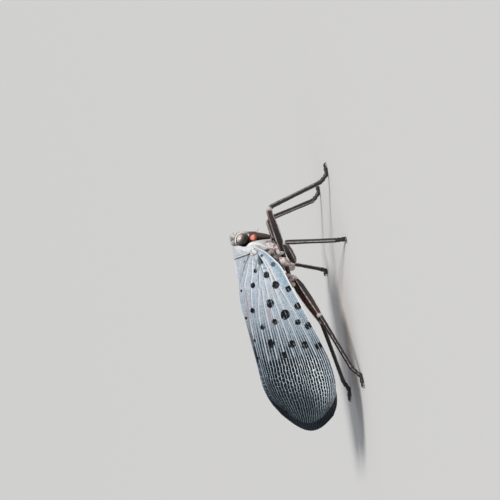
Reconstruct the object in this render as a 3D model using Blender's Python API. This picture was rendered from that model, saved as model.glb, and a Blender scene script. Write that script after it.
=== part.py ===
"""Spotted lanternfly, an adult at rest, as a still life-size model standing on its six feet.

Every shape is worked out in millimetres in one of two frames. The body frame has its origin on the
ridge of the folded wings at their base, +X to the insect's left, +Y towards its tail and +Z to its
back. The stance frame is level, with the floor at Z = 0 below that origin. The last step centres the
finished meshes over the floor and turns millimetres into metres.
"""
import math

import bmesh
import bpy
import numpy as np
from mathutils import Matrix

MM = 0.001
GAP = 0.3                  # air between neighbouring pieces
WING_THICK = 0.5

# The stance: how high the wing ridge stands over the floor, and how the body leans
RIDGE_HEIGHT = 12.5
BODY_PITCH = math.radians(2.5)     # head up
BODY_ROLL = math.radians(4.0)      # left side down
ROLL_CENTRE_Z = -5.0

# Stations along the body, front to back
HEAD_BACK = -1.75
PROTHORAX_FRONT = HEAD_BACK + GAP
PROTHORAX_BACK = -0.3
THORAX_FRONT = PROTHORAX_BACK + GAP
THORAX_BACK = 4.2
ABDOMEN_FRONT = THORAX_BACK + GAP
ABDOMEN_BACK = 13.8

COLOURS = {
    "cuticle": ((0.62, 0.62, 0.60), 0.55),
    "eye": ((0.06, 0.05, 0.05), 0.15),
    "antenna": ((0.85, 0.16, 0.07), 0.45),
    "leg": ((0.07, 0.05, 0.05), 0.4),
    "forewing": ((0.56, 0.63, 0.70), 0.5),
    "hindwing": ((0.55, 0.06, 0.05), 0.5),
    "abdomen": ((0.70, 0.52, 0.12), 0.5),
}


def material(name):
    """A plain finish, made once and shared."""
    found = bpy.data.materials.get(name)
    if found:
        return found
    made = bpy.data.materials.new(name)
    made.use_nodes = True
    colour, roughness = COLOURS[name]
    shader = made.node_tree.nodes["Principled BSDF"]
    shader.inputs["Base Color"].default_value = (*colour, 1.0)
    shader.inputs["Roughness"].default_value = roughness
    shader.inputs["Metallic"].default_value = 0.0
    made.diffuse_color = (*colour, 1.0)
    return made


# Curves, frames and meshes


def ease(value, low, high):
    """0 below low, 1 above high, and an S-curve between them."""
    t = np.clip((np.asarray(value, float) - low) / (high - low), 0.0, 1.0)
    return t * t * (3.0 - 2.0 * t)


def through(points, count, rounds=16):
    """count points, evenly spaced along the smooth curve that runs through the given ones."""
    p = np.asarray(points, float)
    p = np.vstack([2 * p[0] - p[1], p, 2 * p[-1] - p[-2]])
    t = np.linspace(0, 1, rounds, endpoint=False)[:, None]
    spans = []
    for a, b, c, d in zip(p, p[1:], p[2:], p[3:]):
        spans.append(0.5 * (2 * b + (c - a) * t + (2 * a - 5 * b + 4 * c - d) * t**2
                            + (3 * b - a - 3 * c + d) * t**3))
    line = np.vstack([*spans, p[-2:-1]])
    at = np.linspace(0, run_along(line)[-1], count)
    return np.stack([np.interp(at, run_along(line), line[:, k]) for k in range(line.shape[1])], -1)


def run_along(line):
    """The length of the line up to each of its points."""
    return np.concatenate([[0], np.cumsum(np.linalg.norm(np.diff(line, axis=0), axis=1))])


def unit(v):
    """The vectors along the last axis, at length 1."""
    v = np.asarray(v, float)
    return v / np.maximum(np.linalg.norm(v, axis=-1, keepdims=True), 1e-12)


def mirrored(points, side):
    """The points with X turned to the given side: 1 is left and -1 is right."""
    return np.asarray(points, float) * [side, 1.0, 1.0]


def to_stance(points):
    """Body frame to stance frame: pitched and rolled about the middle of the body, then lifted."""
    p = np.asarray(points, float)
    centre = np.array([0.0, 0.0, ROLL_CENTRE_Z])
    pitch = np.array(Matrix.Rotation(-BODY_PITCH, 3, "X"))
    roll = np.array(Matrix.Rotation(BODY_ROLL, 3, "Y"))
    return (p - centre) @ pitch.T @ roll.T + centre + np.array([0.0, 0.0, RIDGE_HEIGHT])


def make_object(name, points, faces, finish):
    """A closed mesh object in the stance frame, with its faces turned outwards."""
    mesh = bpy.data.meshes.new(name)
    mesh.from_pydata([tuple(p) for p in np.asarray(points, float)], [], faces)
    work = bmesh.new()
    work.from_mesh(mesh)
    bmesh.ops.recalc_face_normals(work, faces=work.faces)
    work.to_mesh(mesh)
    work.free()
    mesh.materials.append(material(finish))
    made = bpy.data.objects.new(name, mesh)
    bpy.context.scene.collection.objects.link(made)
    return made


def loft(name, rings, finish):
    """A skin over closed rings of equally many points, with a fan of triangles over each end."""
    rings = np.asarray(rings, float)
    count, sides = rings.shape[:2]
    points = np.vstack([rings.reshape(-1, 3), rings[0].mean(0), rings[-1].mean(0)])
    first, last = count * sides, count * sides + 1
    faces = []
    for i in range(count - 1):
        for j in range(sides):
            k = (j + 1) % sides
            faces.append((i * sides + j, i * sides + k, (i + 1) * sides + k, (i + 1) * sides + j))
    for j in range(sides):
        k = (j + 1) % sides
        faces.append((k, j, first))
        faces.append(((count - 1) * sides + j, (count - 1) * sides + k, last))
    return make_object(name, points, faces, finish)


def slab(name, outer, inner, finish):
    """A thin closed plate between two grids of points, split into triangles alike on both faces."""
    rows, columns = outer.shape[:2]
    points = np.vstack([outer.reshape(-1, 3), inner.reshape(-1, 3)])
    other = rows * columns
    faces = []
    for i in range(rows - 1):
        for j in range(columns - 1):
            a, b = i * columns + j, i * columns + j + 1
            c, d = a + columns, b + columns
            faces += [(a, b, d), (a, d, c)]
            faces += [(b + other, a + other, d + other), (d + other, a + other, c + other)]
    rim = ([j for j in range(columns)] + [i * columns + columns - 1 for i in range(1, rows)]
           + [(rows - 1) * columns + j for j in range(columns - 2, -1, -1)]
           + [i * columns for i in range(rows - 2, 0, -1)])
    for a, b in zip(rim, rim[1:] + rim[:1]):
        faces += [(b, a, a + other), (b, a + other, b + other)]
    return make_object(name, points, faces, finish)


def ellipsoid(name, centre, radii, finish, rings=10, sides=16):
    """A closed ball with three radii, in the body frame."""
    turn = np.linspace(0, math.pi, rings + 1)
    round_it = np.linspace(0, 2 * math.pi, sides, endpoint=False)
    shape = np.stack([np.outer(np.sin(turn[1:-1]), np.cos(round_it)),
                      np.outer(np.sin(turn[1:-1]), np.sin(round_it)),
                      np.outer(np.cos(turn[1:-1]), np.ones(sides))], -1)
    points = np.vstack([shape.reshape(-1, 3), [0, 0, 1], [0, 0, -1]])
    points = to_stance(points * np.asarray(radii) + np.asarray(centre))
    top, bottom = (rings - 1) * sides, (rings - 1) * sides + 1
    faces = []
    for j in range(sides):
        k = (j + 1) % sides
        faces.append((j, k, top))
        faces.append(((rings - 2) * sides + k, (rings - 2) * sides + j, bottom))
        for i in range(rings - 2):
            faces.append((i * sides + j, (i + 1) * sides + j, (i + 1) * sides + k, i * sides + k))
    return make_object(name, points, faces, finish)


def tube(name, line, radii, finish, sides=8, across=None, flatten=1.0):
    """A tube along a line of points, with its own radius at each, cut square at both ends.

    across is the direction of its thin side, whose radius is flatten times the other one. Whatever
    would reach below the floor is pressed flat on it.
    """
    line = np.asarray(line, float)
    ahead = unit(np.gradient(line, axis=0))
    if across is None:
        across = np.array([1.0, 0.0, 0.0]) if abs(ahead[0][0]) < 0.9 else np.array([0.0, 0.0, 1.0])
    thin = unit(across - (ahead @ across)[:, None] * ahead)
    deep = np.cross(ahead, thin)
    turn = np.linspace(0, 2 * math.pi, sides, endpoint=False)
    radii = np.asarray(radii, float)[:, None, None]
    rings = line[:, None] + radii * (np.cos(turn)[None, :, None] * deep[:, None]
                                     + flatten * np.sin(turn)[None, :, None] * thin[:, None])
    rings[..., 2] = np.maximum(rings[..., 2], 0.0)
    return loft(name, rings, finish)


def boolean(target, operation, pieces):
    """Cuts closed pieces out of target, or joins them to it, and keeps the largest closed surface."""
    group = bpy.data.collections.new("pieces")
    for piece in pieces:
        group.objects.link(piece)
    modifier = target.modifiers.new("boolean", "BOOLEAN")
    modifier.operation = operation
    modifier.operand_type = "COLLECTION"
    modifier.collection = group
    modifier.solver = "EXACT"
    graph = bpy.context.evaluated_depsgraph_get()
    target.data = bpy.data.meshes.new_from_object(target.evaluated_get(graph))
    target.modifiers.clear()
    for piece in pieces:
        bpy.data.objects.remove(piece)
    bpy.data.collections.remove(group)
    keep_largest(target.data)


def cut_clear(target, *cutters):
    """Cuts each cutter out of target in turn, as cutters that cross each other can't share a cut."""
    for cutter in cutters:
        boolean(target, "DIFFERENCE", [cutter])


def keep_largest(mesh):
    """Deletes every closed surface of the mesh but the one that fills the largest box."""
    work = bmesh.new()
    work.from_mesh(mesh)
    left, groups = set(work.verts), []
    while left:
        stack, group = [left.pop()], []
        while stack:
            vertex = stack.pop()
            group.append(vertex)
            for edge in vertex.link_edges:
                other = edge.other_vert(vertex)
                if other in left:
                    left.remove(other)
                    stack.append(other)
        groups.append(group)
    extents = [np.ptp(np.array([v.co for v in g]), axis=0).prod() for g in groups]
    best = int(np.argmax(extents))
    loose = [v for n, g in enumerate(groups) if n != best for v in g]
    bmesh.ops.delete(work, geom=loose, context="VERTS")
    work.to_mesh(mesh)
    work.free()


# The roof that the folded forewings make, which thorax, abdomen and hind wings are all set against

SHOULDER_HALF_WIDTH = 3.9
ROOF_HALF_WIDTH = 5.3
TIP_NARROWING = 0.7
SHOULDER_DEPTH = 5.5
ROOF_DEPTH = 10.2
RIDGE_BOW = 0.55


def roof_half_width(y):
    """Half width of the roof at the foot of its slope."""
    grown = SHOULDER_HALF_WIDTH + (ROOF_HALF_WIDTH - SHOULDER_HALF_WIDTH) * ease(y, 0.0, 13.0)
    return grown - TIP_NARROWING * ease(y, 15.0, 22.0)


def roof_depth(y):
    """Depth below the ridge at which the slope would stand upright."""
    return SHOULDER_DEPTH + (ROOF_DEPTH - SHOULDER_DEPTH) * ease(y, -1.0, 14.0)


def ridge_height(y):
    """Height of the ridge, which is bowed a little behind the scutellum."""
    return RIDGE_BOW * ease(y, 0.5, 4.5) * (1.0 - ease(y, 5.0, 13.0))


def roof_share(y, z):
    """Share of the roof's depth that a height z lies below the ridge."""
    return np.clip((ridge_height(y) - np.asarray(z, float)) / roof_depth(y), 0.0, 1.0)


def roof_x(y, z):
    """Half width of the roof at a height z: half a parabola, steep below and flatter on top."""
    return roof_half_width(y) * (1.0 - (1.0 - roof_share(y, z)) ** 2)


def roof_z(y, x):
    """Height of the roof at a distance x from the ridge."""
    drop = roof_depth(y) * (1.0 - np.sqrt(1.0 - np.clip(x / roof_half_width(y), 0, 1)))
    return ridge_height(y) - drop


def roof_normal(y, z):
    """(nx, nz), the outward unit normal of the roof's section."""
    slope = 2.0 * roof_half_width(y) / roof_depth(y) * (1.0 - roof_share(y, z))
    length = np.sqrt(1.0 + slope**2)
    return 1.0 / length, slope / length


def under_roof_ring(y, inset, side_z, bottom_z, side_count=6, belly_count=5, top_z=-0.95):
    """A section that hugs the roof at a distance inset inside it, with a rounded belly."""
    z = np.linspace(top_z, side_z, side_count)
    nx, nz = roof_normal(y, z)
    side = np.stack([roof_x(y, z) - inset * nx, z - inset * nz], -1)
    peak = np.array([[0.0, -inset / roof_normal(y, 0.0)[1]]])
    turn = np.linspace(0, math.pi / 2, belly_count + 1)[1:]
    x_side, z_side = side[-1]
    belly = np.stack([x_side * np.cos(turn) ** 0.8,
                      z_side + (bottom_z - z_side) * np.sin(turn)], -1)
    belly[-1, 0] = 0.0
    half = np.vstack([peak, side, belly])
    ring = np.vstack([half, half[-2:0:-1] * [-1, 1]])
    return np.stack([ring[:, 0], np.full(len(ring), y), ring[:, 1]], -1)


def oval_ring(y, centre_z, half_width, half_height, sides=20, power=2.0):
    """An upright superellipse at a station along the body, from its top round to the left."""
    turn = np.linspace(0, 2 * math.pi, sides, endpoint=False)
    c, s = np.cos(turn), np.sin(turn)
    x = half_width * np.sign(s) * np.abs(s) ** (2 / power)
    z = centre_z + half_height * np.sign(c) * np.abs(c) ** (2 / power)
    return np.stack([x, np.full(sides, y), z], -1)


# Head: vertex and snout above, frons in front, clypeus below, with the beak folded back under

HEAD_LEVELS = (
    # height, front, back, half width
    (0.10, -2.86, -2.30, 0.42),
    (-0.12, -3.10, -2.00, 0.85),
    (-0.55, -3.16, HEAD_BACK, 1.26),
    (-1.20, -3.04, HEAD_BACK, 1.50),
    (-1.90, -2.98, HEAD_BACK, 1.56),
    (-2.60, -2.94, HEAD_BACK, 1.42),
    (-3.20, -2.86, HEAD_BACK, 1.12),
    (-3.75, -2.70, HEAD_BACK, 0.88),
    (-4.35, -2.46, HEAD_BACK, 0.66),
    (-4.85, -2.22, -1.80, 0.40),
)
FACE_KEEL = 0.12
FACE_KEEL_SPOTS = (2, -2)          # points of a level, counted from the middle of the face
EYE_CENTRE = (1.52, -2.22, -1.45)
EYE_RADII = (0.58, 0.66, 0.70)
BULB_CENTRE = (1.62, -2.25, -2.85)
BULB_RADIUS = 0.42
BRISTLE_RADII = (0.25, 0.24, 0.20, 0.14, 0.06)
BEAK_LINE = ((0, -1.95, -5.15), (0, -1.35, -5.6), (0, 0.2, -5.95), (0, 3.9, -6.25))
BEAK_POINTS = 9


def head_ring(z, front, back, half_width, sides=20):
    """A level section of the head, flat behind and rounded in front, with a keel beside the face."""
    turn = np.linspace(0, 2 * math.pi, sides, endpoint=False)
    c, s = np.cos(turn), np.sin(turn)
    x = half_width * np.sign(s) * np.abs(s) ** 0.8
    y = (front + back) / 2 - (back - front) / 2 * np.sign(c) * np.abs(c) ** 0.8
    y[list(FACE_KEEL_SPOTS)] -= FACE_KEEL
    return np.stack([x, y, np.full(sides, z)], -1)


def make_head():
    """Head with a socket for each eye and antenna, the eyes, the antennae and the beak."""
    head = loft("head", to_stance([head_ring(*level) for level in HEAD_LEVELS]), "cuticle")
    sockets = []
    for side in (1, -1):
        sockets.append(ellipsoid("socket", mirrored(EYE_CENTRE, side),
                                 np.array(EYE_RADII) + GAP, "cuticle"))
        sockets.append(ellipsoid("socket", mirrored(BULB_CENTRE, side),
                                 np.full(3, BULB_RADIUS + GAP), "cuticle"))
    cut_clear(head, *sockets)
    for side, word in ((1, "l"), (-1, "r")):
        ellipsoid(f"eye_{word}", mirrored(EYE_CENTRE, side), EYE_RADII, "eye", rings=12, sides=20)
        make_antenna(f"antenna_{word}", side)
    beak = through(BEAK_LINE, BEAK_POINTS)
    tube("rostrum", to_stance(beak), np.linspace(0.34, 0.25, BEAK_POINTS), "leg")


def make_antenna(name, side):
    """The swollen pedicel with its fine bristle, as one piece."""
    centre = mirrored(BULB_CENTRE, side)
    bulb = ellipsoid(name, centre, np.full(3, BULB_RADIUS), "antenna", rings=8, sides=12)
    reach = np.linspace(0.1, 1.9, len(BRISTLE_RADII))[:, None]
    line = centre + reach * unit([0.75 * side, -0.45, -0.45])
    bristle = tube("bristle", to_stance(line), BRISTLE_RADII, "antenna", sides=6)
    boolean(bulb, "UNION", [bristle])


# Thorax: collar, wing-bearing part, the shield between the wing bases, and the scale over each base

COLLAR_NOTCH = 0.65                # how far the collar's hind edge steps forward at each side
COLLAR_NOTCH_Z = -2.6
COLLAR_KEEL = 0.14
SHIELD_TIP = 2.75
SHIELD_KEEL = 0.12
SHIELD_DEPTH = 0.6                 # measured upright, so that the slopes are WING_THICK through
TEGULA_PLACE = (-0.25, -2.55)      # (y, z) of its middle on the roof
TEGULA_HALF_LENGTH = 0.62
TEGULA_HALF_HEIGHT = 0.68
TEGULA_LEVELS = ((0.0, 0.88), (0.12, 1.0), (0.26, 0.82), (0.36, 0.45))    # rise and share of outline


def collar_rings(grow=0.0):
    """The prothorax, with its shield above, its breast below and a notch behind at each side."""
    rings = []
    for share in np.linspace(0, 1, 5):
        half_width = 2.05 + 0.75 * share + grow
        top, bottom = 0.0 + grow, -5.0 - 0.2 * share - grow
        ring = oval_ring(0.0, (top + bottom) / 2, half_width, (top - bottom) / 2,
                         sides=24, power=2.3)
        notch = COLLAR_NOTCH * np.exp(-((ring[:, 2] - COLLAR_NOTCH_Z) / 1.1) ** 2)
        front, back = PROTHORAX_FRONT - grow, PROTHORAX_BACK + grow - notch
        ring[:, 1] = front + (back - front) * share
        ring[0, 2] += COLLAR_KEEL
        rings.append(ring)
    return rings


def thorax_rings(grow=0.0):
    """The part that carries the wings, hidden under their roof."""
    rings = []
    for y in np.linspace(THORAX_FRONT - grow, THORAX_BACK + grow, 5):
        side_z = -3.9 - 0.9 * ease(y, 0.0, 3.5)
        rings.append(under_roof_ring(y, WING_THICK + GAP - grow, side_z, -5.6 - grow))
    return rings


def make_thorax():
    """Prothorax, wing-bearing thorax, scutellum and tegulae."""
    loft("prothorax", to_stance(collar_rings()), "cuticle")
    loft("thorax", to_stance(thorax_rings()), "leg")
    make_shield()
    for side, word in ((1, "l"), (-1, "r")):
        make_tegula(f"tegula_{word}", side)


def make_shield():
    """The scutellum, a keeled plate that lies on the thorax and fills the roof between the wings."""
    edge = through(RIDGE_EDGE, 120)
    y = np.linspace(THORAX_FRONT, SHIELD_TIP, 7)[:, None]
    half_width = roof_x(y, np.interp(y, edge[:, 0], edge[:, 1])) - GAP / 0.8
    x = half_width * np.linspace(-1, 1, 9)
    y = np.broadcast_to(y, x.shape)
    outer = np.stack([x, y, roof_z(y, np.abs(x))], -1)
    inner = outer - [0.0, 0.0, SHIELD_DEPTH]
    outer[:, 4, 2] += SHIELD_KEEL
    slab("scutellum", to_stance(outer), to_stance(inner), "cuticle")


def make_tegula(name, side):
    """A domed oval scale just outside the root of the forewing."""
    y, z = TEGULA_PLACE
    nx, nz = roof_normal(y, z)
    out, back, down = np.array([[nx, 0.0, nz], [0.0, 1.0, 0.0], [nz, 0.0, -nx]])
    centre = np.array([roof_x(y, z), y, z]) + GAP * out
    turn = np.linspace(0, 2 * math.pi, 14, endpoint=False)[:, None]
    outline = TEGULA_HALF_LENGTH * np.cos(turn) * back + TEGULA_HALF_HEIGHT * np.sin(turn) * down
    rings = [centre + rise * out + share * outline for rise, share in TEGULA_LEVELS]
    loft(name, to_stance(mirrored(rings, side)), "cuticle")


# Abdomen

PLATES = 8
PLATE_SWELL = ((0.0, 0.93), (0.82, 1.0))       # share along a plate, and how full it is there


def make_abdomen():
    """Plates that lap backwards, plump below and triangular under the roof of the wings."""
    rings = []
    length = ABDOMEN_BACK - ABDOMEN_FRONT
    inset = 2 * WING_THICK + 2 * GAP + 0.05
    for n in range(PLATES):
        for part, swell in PLATE_SWELL:
            share = (n + part) / PLATES
            y = ABDOMEN_FRONT + share * length
            size = swell * math.sqrt(1.0 - share**3.2)
            ring = oval_ring(y, -4.35 + 0.35 * share, 2.25 * size, 1.95 * size, sides=18, power=2.2)
            nx, _ = roof_normal(y, ring[:, 2])
            limit = np.maximum(roof_x(y, ring[:, 2]) - inset / nx, 0.15)
            ring[:, 0] = np.clip(ring[:, 0], -limit, limit)
            rings.append(ring)
    rings.append(oval_ring(ABDOMEN_BACK, -4.0, 0.3, 0.3, sides=18))
    loft("abdomen", to_stance(rings), "abdomen")


# Wings: one grid runs from root to tip along the veins and from the ridge to the front edge

RIDGE_EDGE = (
    # (y, z) along the edge that meets the other wing, from the root to the tip
    (0.05, -1.40), (1.8, -0.62), (3.7, 0.26), (5.5, 0.38), (8.5, 0.18), (13.0, -0.12),
    (15.6, -0.30), (17.6, -0.90), (19.3, -2.0),
)
FRONT_EDGE = (
    # (y, z) along the leading edge, which is the lower one in the folded wing
    (0.05, -3.3), (0.8, -4.15), (1.5, -4.75), (2.6, -5.3), (5.0, -5.95), (8.2, -6.85),
    (11.5, -7.8), (14.5, -8.58), (17.2, -8.87), (19.1, -8.55), (20.4, -7.75),
)
TIP_BULGE = 1.9
RIDGE_HALF_GAP = GAP / 2
LEFT_WING_BACK = 0.5               # the left wing lies a little further back and down at its tip
LEFT_WING_DROP = 0.6
WING_ROWS = 22
VEIN_STATIONS = (0.0, 0.2, 0.4, 0.6, 0.8, 1.0)
VEINS = (
    # where the ridge begins and ends along the wing, and its share across the wing at each station
    (0.02, 0.50, (0.16, 0.13, 0.08, 0.05, 0.05, 0.05)),
    (0.02, 0.34, (0.33, 0.28, 0.16, 0.11, 0.10, 0.09)),
    (0.02, 1.20, (0.48, 0.42, 0.24, 0.19, 0.16, 0.15)),
    (0.24, 1.20, (0.54, 0.50, 0.38, 0.32, 0.28, 0.27)),
    (0.06, 1.20, (0.60, 0.57, 0.49, 0.44, 0.41, 0.39)),
    (0.30, 1.20, (0.65, 0.63, 0.59, 0.56, 0.53, 0.51)),
    (0.06, 1.20, (0.70, 0.69, 0.69, 0.68, 0.66, 0.64)),
    (0.02, 1.20, (0.76, 0.76, 0.83, 0.85, 0.85, 0.84)),
)
VEIN_HEIGHT = 0.15
VEIN_HALF_WIDTH = 0.2
VEIN_FADE = 0.07                   # share of the wing over which a vein rises to its height


def along_edge(edge, along):
    """(y, z) at each share along an edge of the wing."""
    line = through(edge, 120)
    at = np.linspace(0, 1, len(line))
    return np.stack([np.interp(along, at, line[:, k]) for k in (0, 1)], -1)


def wing_shares():
    """Shares along and across the wing of each grid point, and how much of a vein's height it has.

    Each vein has three columns, at its crest and at its two feet, which come together at the root.
    """
    along = np.linspace(0, 1, WING_ROWS)
    crests = []
    for _, _, shares in VEINS:
        line = through(list(zip(VEIN_STATIONS, shares)), 60)
        crests.append(np.interp(along, line[:, 0], line[:, 1]))
    crests = np.stack(crests, -1)
    chord = np.linalg.norm(along_edge(FRONT_EDGE, along) - along_edge(RIDGE_EDGE, along), axis=1)
    room = 0.4 * np.diff(crests, axis=1).min(1)
    foot = np.minimum(VEIN_HALF_WIDTH / chord, room)[:, None]
    columns = np.stack([crests - foot, crests, crests + foot], -1).reshape(WING_ROWS, -1)
    across = np.hstack([np.zeros((WING_ROWS, 1)), columns, np.ones((WING_ROWS, 1))])
    lift = np.zeros_like(across)
    for n, (begin, end, _) in enumerate(VEINS):
        lift[:, 3 * n + 2] = (ease(along, begin, begin + VEIN_FADE)
                              * (1.0 - ease(along, end, end + VEIN_FADE)))
    return along, across, lift


def make_forewing(name, side):
    """A forewing: a plate that bends to the roof, with its main veins raised on the outside."""
    along, across, lift = wing_shares()
    ridge, front = along_edge(RIDGE_EDGE, along)[:, None], along_edge(FRONT_EDGE, along)[:, None]
    y, z = np.moveaxis(ridge + (front - ridge) * across[..., None], -1, 0)
    y = y + TIP_BULGE * (along**4)[:, None] * np.sin(math.pi * across)
    if side > 0:
        y = y + LEFT_WING_BACK * (along**2)[:, None]
        z = z - LEFT_WING_DROP * (along**2)[:, None] * across
    outer = np.stack([np.maximum(roof_x(y, z), RIDGE_HALF_GAP), y, z], -1)
    normal = unit(np.cross(np.gradient(outer, axis=0), np.gradient(outer, axis=1)))
    normal *= np.sign(normal[..., :1])
    inner = outer - WING_THICK * normal
    slide = np.maximum(RIDGE_HALF_GAP - inner[..., 0], 0.0)
    down = unit(np.gradient(outer, axis=1))
    inner += down * (slide / np.maximum(down[..., 0], 0.2))[..., None]
    outer += VEIN_HEIGHT * lift[..., None] * normal
    slab(name, to_stance(mirrored(outer, side)), to_stance(mirrored(inner, side)), "forewing")


HIND_RIDGE_EDGE = ((ABDOMEN_FRONT, -1.9), (9.0, -1.7), (14.0, -1.9), (17.2, -3.2))
HIND_FRONT_EDGE = ((ABDOMEN_FRONT, -4.6), (8.0, -6.3), (13.0, -7.6), (16.8, -7.0))
HIND_TIP_BULGE = 1.2


def make_hindwing(name, side):
    """A hind wing, folded flat inside the forewing and meeting the back of the thorax."""
    along = np.linspace(0, 1, 12)
    across = np.linspace(0, 1, 8)
    ridge = along_edge(HIND_RIDGE_EDGE, along)[:, None]
    front = along_edge(HIND_FRONT_EDGE, along)[:, None]
    y, z = np.moveaxis(ridge + (front - ridge) * across[:, None], -1, 0)
    y = y + HIND_TIP_BULGE * (along**4)[:, None] * np.sin(math.pi * across)
    nx, nz = roof_normal(y, z)
    inset = WING_THICK + GAP + 0.05
    outer = np.stack([roof_x(y, z) - inset * nx, y, z - inset * nz], -1)
    inner = outer - WING_THICK * np.stack([nx, np.zeros_like(nx), nz], -1)
    slab(name, to_stance(mirrored(outer, side)), to_stance(mirrored(inner, side)), "hindwing")


# Legs: each is one bent line, parted at its joints, with a sole pressed flat on the floor

SEGMENTS = {
    # share along the segment and radius there, how thin the other side is, and the least points
    "coxa": (((0.0, 0.62), (0.5, 0.58), (1.0, 0.40)), 0.8, 4),
    "femur": (((0.0, 0.36), (0.2, 0.47), (0.55, 0.48), (0.9, 0.36), (1.0, 0.34)), 0.72, 6),
    "tibia": (((0.0, 0.32), (0.1, 0.28), (0.6, 0.26), (1.0, 0.31)), 0.9, 6),
    "tarsus": (((0.0, 0.26), (0.3, 0.30), (0.36, 0.25), (0.58, 0.30), (0.64, 0.25), (0.9, 0.30),
                (1.0, 0.24)), 1.0, 8),
}
FILLETS = (0.5, 0.7, 0.4, 0.3)
SOLE_HEIGHT = 0.2          # middle of the foot over the floor, less than its radius, so its sole is flat
CLAW_LENGTH = 0.6
CLAW_RADII = (0.16, 0.12, 0.05)
CLAW_SPREAD = 0.45
SPINE_SHARES = (0.34, 0.50, 0.66, 0.81, 0.94)  # places of the spines along a hind tibia
SPINE_REACH = 0.68
SPINE_RADII = (0.17, 0.05)

# Joints of each leg, from the trochanter to the tip, in the stance frame. Hips are in the body frame.
LEGS = {
    "fore_r": ((-1.35, -0.95, -3.9), (-2.6, 0.45, 6.8), (-4.5, -4.9, 8.0), (-4.6, -7.2, 1.05),
               (-4.4, -9.4, 0.0)),
    "fore_l": ((1.35, -0.95, -3.9), (2.4, 0.2, 6.4), (4.6, -4.9, 7.2), (5.4, -6.6, 1.05),
               (5.6, -8.8, 0.0)),
    "mid_r": ((-1.5, 1.3, -4.6), (-2.7, 1.9, 5.6), (-7.0, -0.1, 7.0), (-9.6, 0.9, 1.05),
              (-11.7, 1.2, 0.0)),
    "mid_l": ((1.5, 1.3, -4.6), (2.5, 1.9, 5.2), (6.9, 0.3, 6.2), (9.4, 1.6, 1.05),
              (11.5, 2.1, 0.0)),
    "hind_r": ((-1.5, 3.2, -4.7), (-2.4, 4.0, 5.7), (-3.7, 8.9, 3.7), (-5.8, 16.2, 1.05),
               (-6.8, 18.6, 0.0)),
    "hind_l": ((1.5, 3.2, -4.7), (2.2, 4.0, 5.4), (3.5, 8.9, 2.7), (5.9, 16.6, 0.8),
               (7.2, 18.9, 0.0)),
}


def rounded_path(joints, fillets, steps=4):
    """The line through the joints with each inner corner rounded, and where each joint falls on it.

    A corner is a parabola that starts and ends one fillet length from the joint.
    """
    line, marks = [joints[0]], []
    for before, corner, after, fillet in zip(joints, joints[1:], joints[2:], fillets):
        start = corner + unit(before - corner) * fillet
        end = corner + unit(after - corner) * fillet
        for t in np.linspace(0, 1, 2 * steps + 1):
            line.append(start * (1 - t) ** 2 + 2 * corner * t * (1 - t) + end * t**2)
        marks.append(len(line) - 1 - steps)
    line.append(joints[-1])
    return np.array(line), marks


def stretch(line, begin, end, wanted):
    """The part of the line between two runs along it: its own points there and the wanted shares."""
    run = run_along(line)
    at = [begin]
    inside = run[(run > begin) & (run < end)]
    for r in sorted([*inside, *(begin + (end - begin) * np.array(wanted))]):
        if r - at[-1] > 0.12 and end - r > 0.12:
            at.append(r)
    at.append(end)
    return np.stack([np.interp(at, run, line[:, k]) for k in range(3)], -1), np.array(at)


def make_leg(word, hip, *joints):
    """Coxa, femur, tibia and tarsus of one leg, parted by thin cuts at the joints."""
    hip, trochanter, knee, ankle, toe = np.array([to_stance(hip), *joints])
    toe = toe + unit(ankle - toe) * CLAW_LENGTH * 0.8
    ball = 0.5 * ankle + 0.5 * toe
    ball[2] = toe[2] = SOLE_HEIGHT
    line, marks = rounded_path([hip, trochanter, knee, ankle, ball, toe], FILLETS)
    cuts = [0.0, *run_along(line)[marks[:3]], run_along(line)[-1]]
    across = unit(np.cross(knee - trochanter, ankle - knee))
    for n, part in enumerate(("coxa", "femur", "tibia", "tarsus")):
        profile, flatten, count = SEGMENTS[part]
        begin = cuts[n] + (GAP / 2 if n else 0.0)
        end = cuts[n + 1] - (GAP / 2 if n < 3 else 0.0)
        shares, sizes = zip(*profile)
        points, at = stretch(line, begin, end, [*shares, *np.linspace(0, 1, count)])
        radii = np.interp((at - begin) / (end - begin), shares, sizes)
        piece = tube(f"{word}_{part}", points, radii, "leg", across=across, flatten=flatten)
        if part == "coxa":
            cut_clear(piece, loft("clearance", to_stance(thorax_rings(GAP)), "leg"),
                      loft("clearance", to_stance(collar_rings(GAP)), "leg"))
        if part == "tibia" and word.startswith("hind"):
            boolean(piece, "UNION", tibia_spines(points, unit(np.array([knee[0], 0.0, 0.0]))))
        if part == "tarsus":
            boolean(piece, "UNION", claws(points[-1], unit(toe - ball)))


def tibia_spines(line, outwards):
    """Short spines in a row down the outer side of a hind tibia, each leaning towards the foot."""
    run = run_along(line)
    spines = []
    for share in SPINE_SHARES:
        root = np.array([np.interp(share * run[-1], run, line[:, k]) for k in range(3)])
        lean = unit(outwards + 0.75 * unit(line[-1] - line[0]))
        spines.append(tube("spine", [root, root + SPINE_REACH * lean], SPINE_RADII, "leg", sides=5))
    return spines


def claws(root, ahead):
    """The pair of claws on a foot, parted to both sides and curved down to the floor."""
    aside = np.array([ahead[1], -ahead[0], 0.0])
    pair = []
    for turn in (1, -1):
        out = unit(ahead + CLAW_SPREAD * turn * aside)
        root_in = root - 0.22 * out + [0.0, 0.0, 0.04]
        middle = root + 0.5 * CLAW_LENGTH * out + [0.0, 0.0, 0.06]
        tip = root + CLAW_LENGTH * unit(out + 0.15 * turn * aside) - [0.0, 0.0, 0.12]
        pair.append(tube("claw", [root_in, middle, tip], CLAW_RADII, "leg", sides=6))
    return pair


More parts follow.
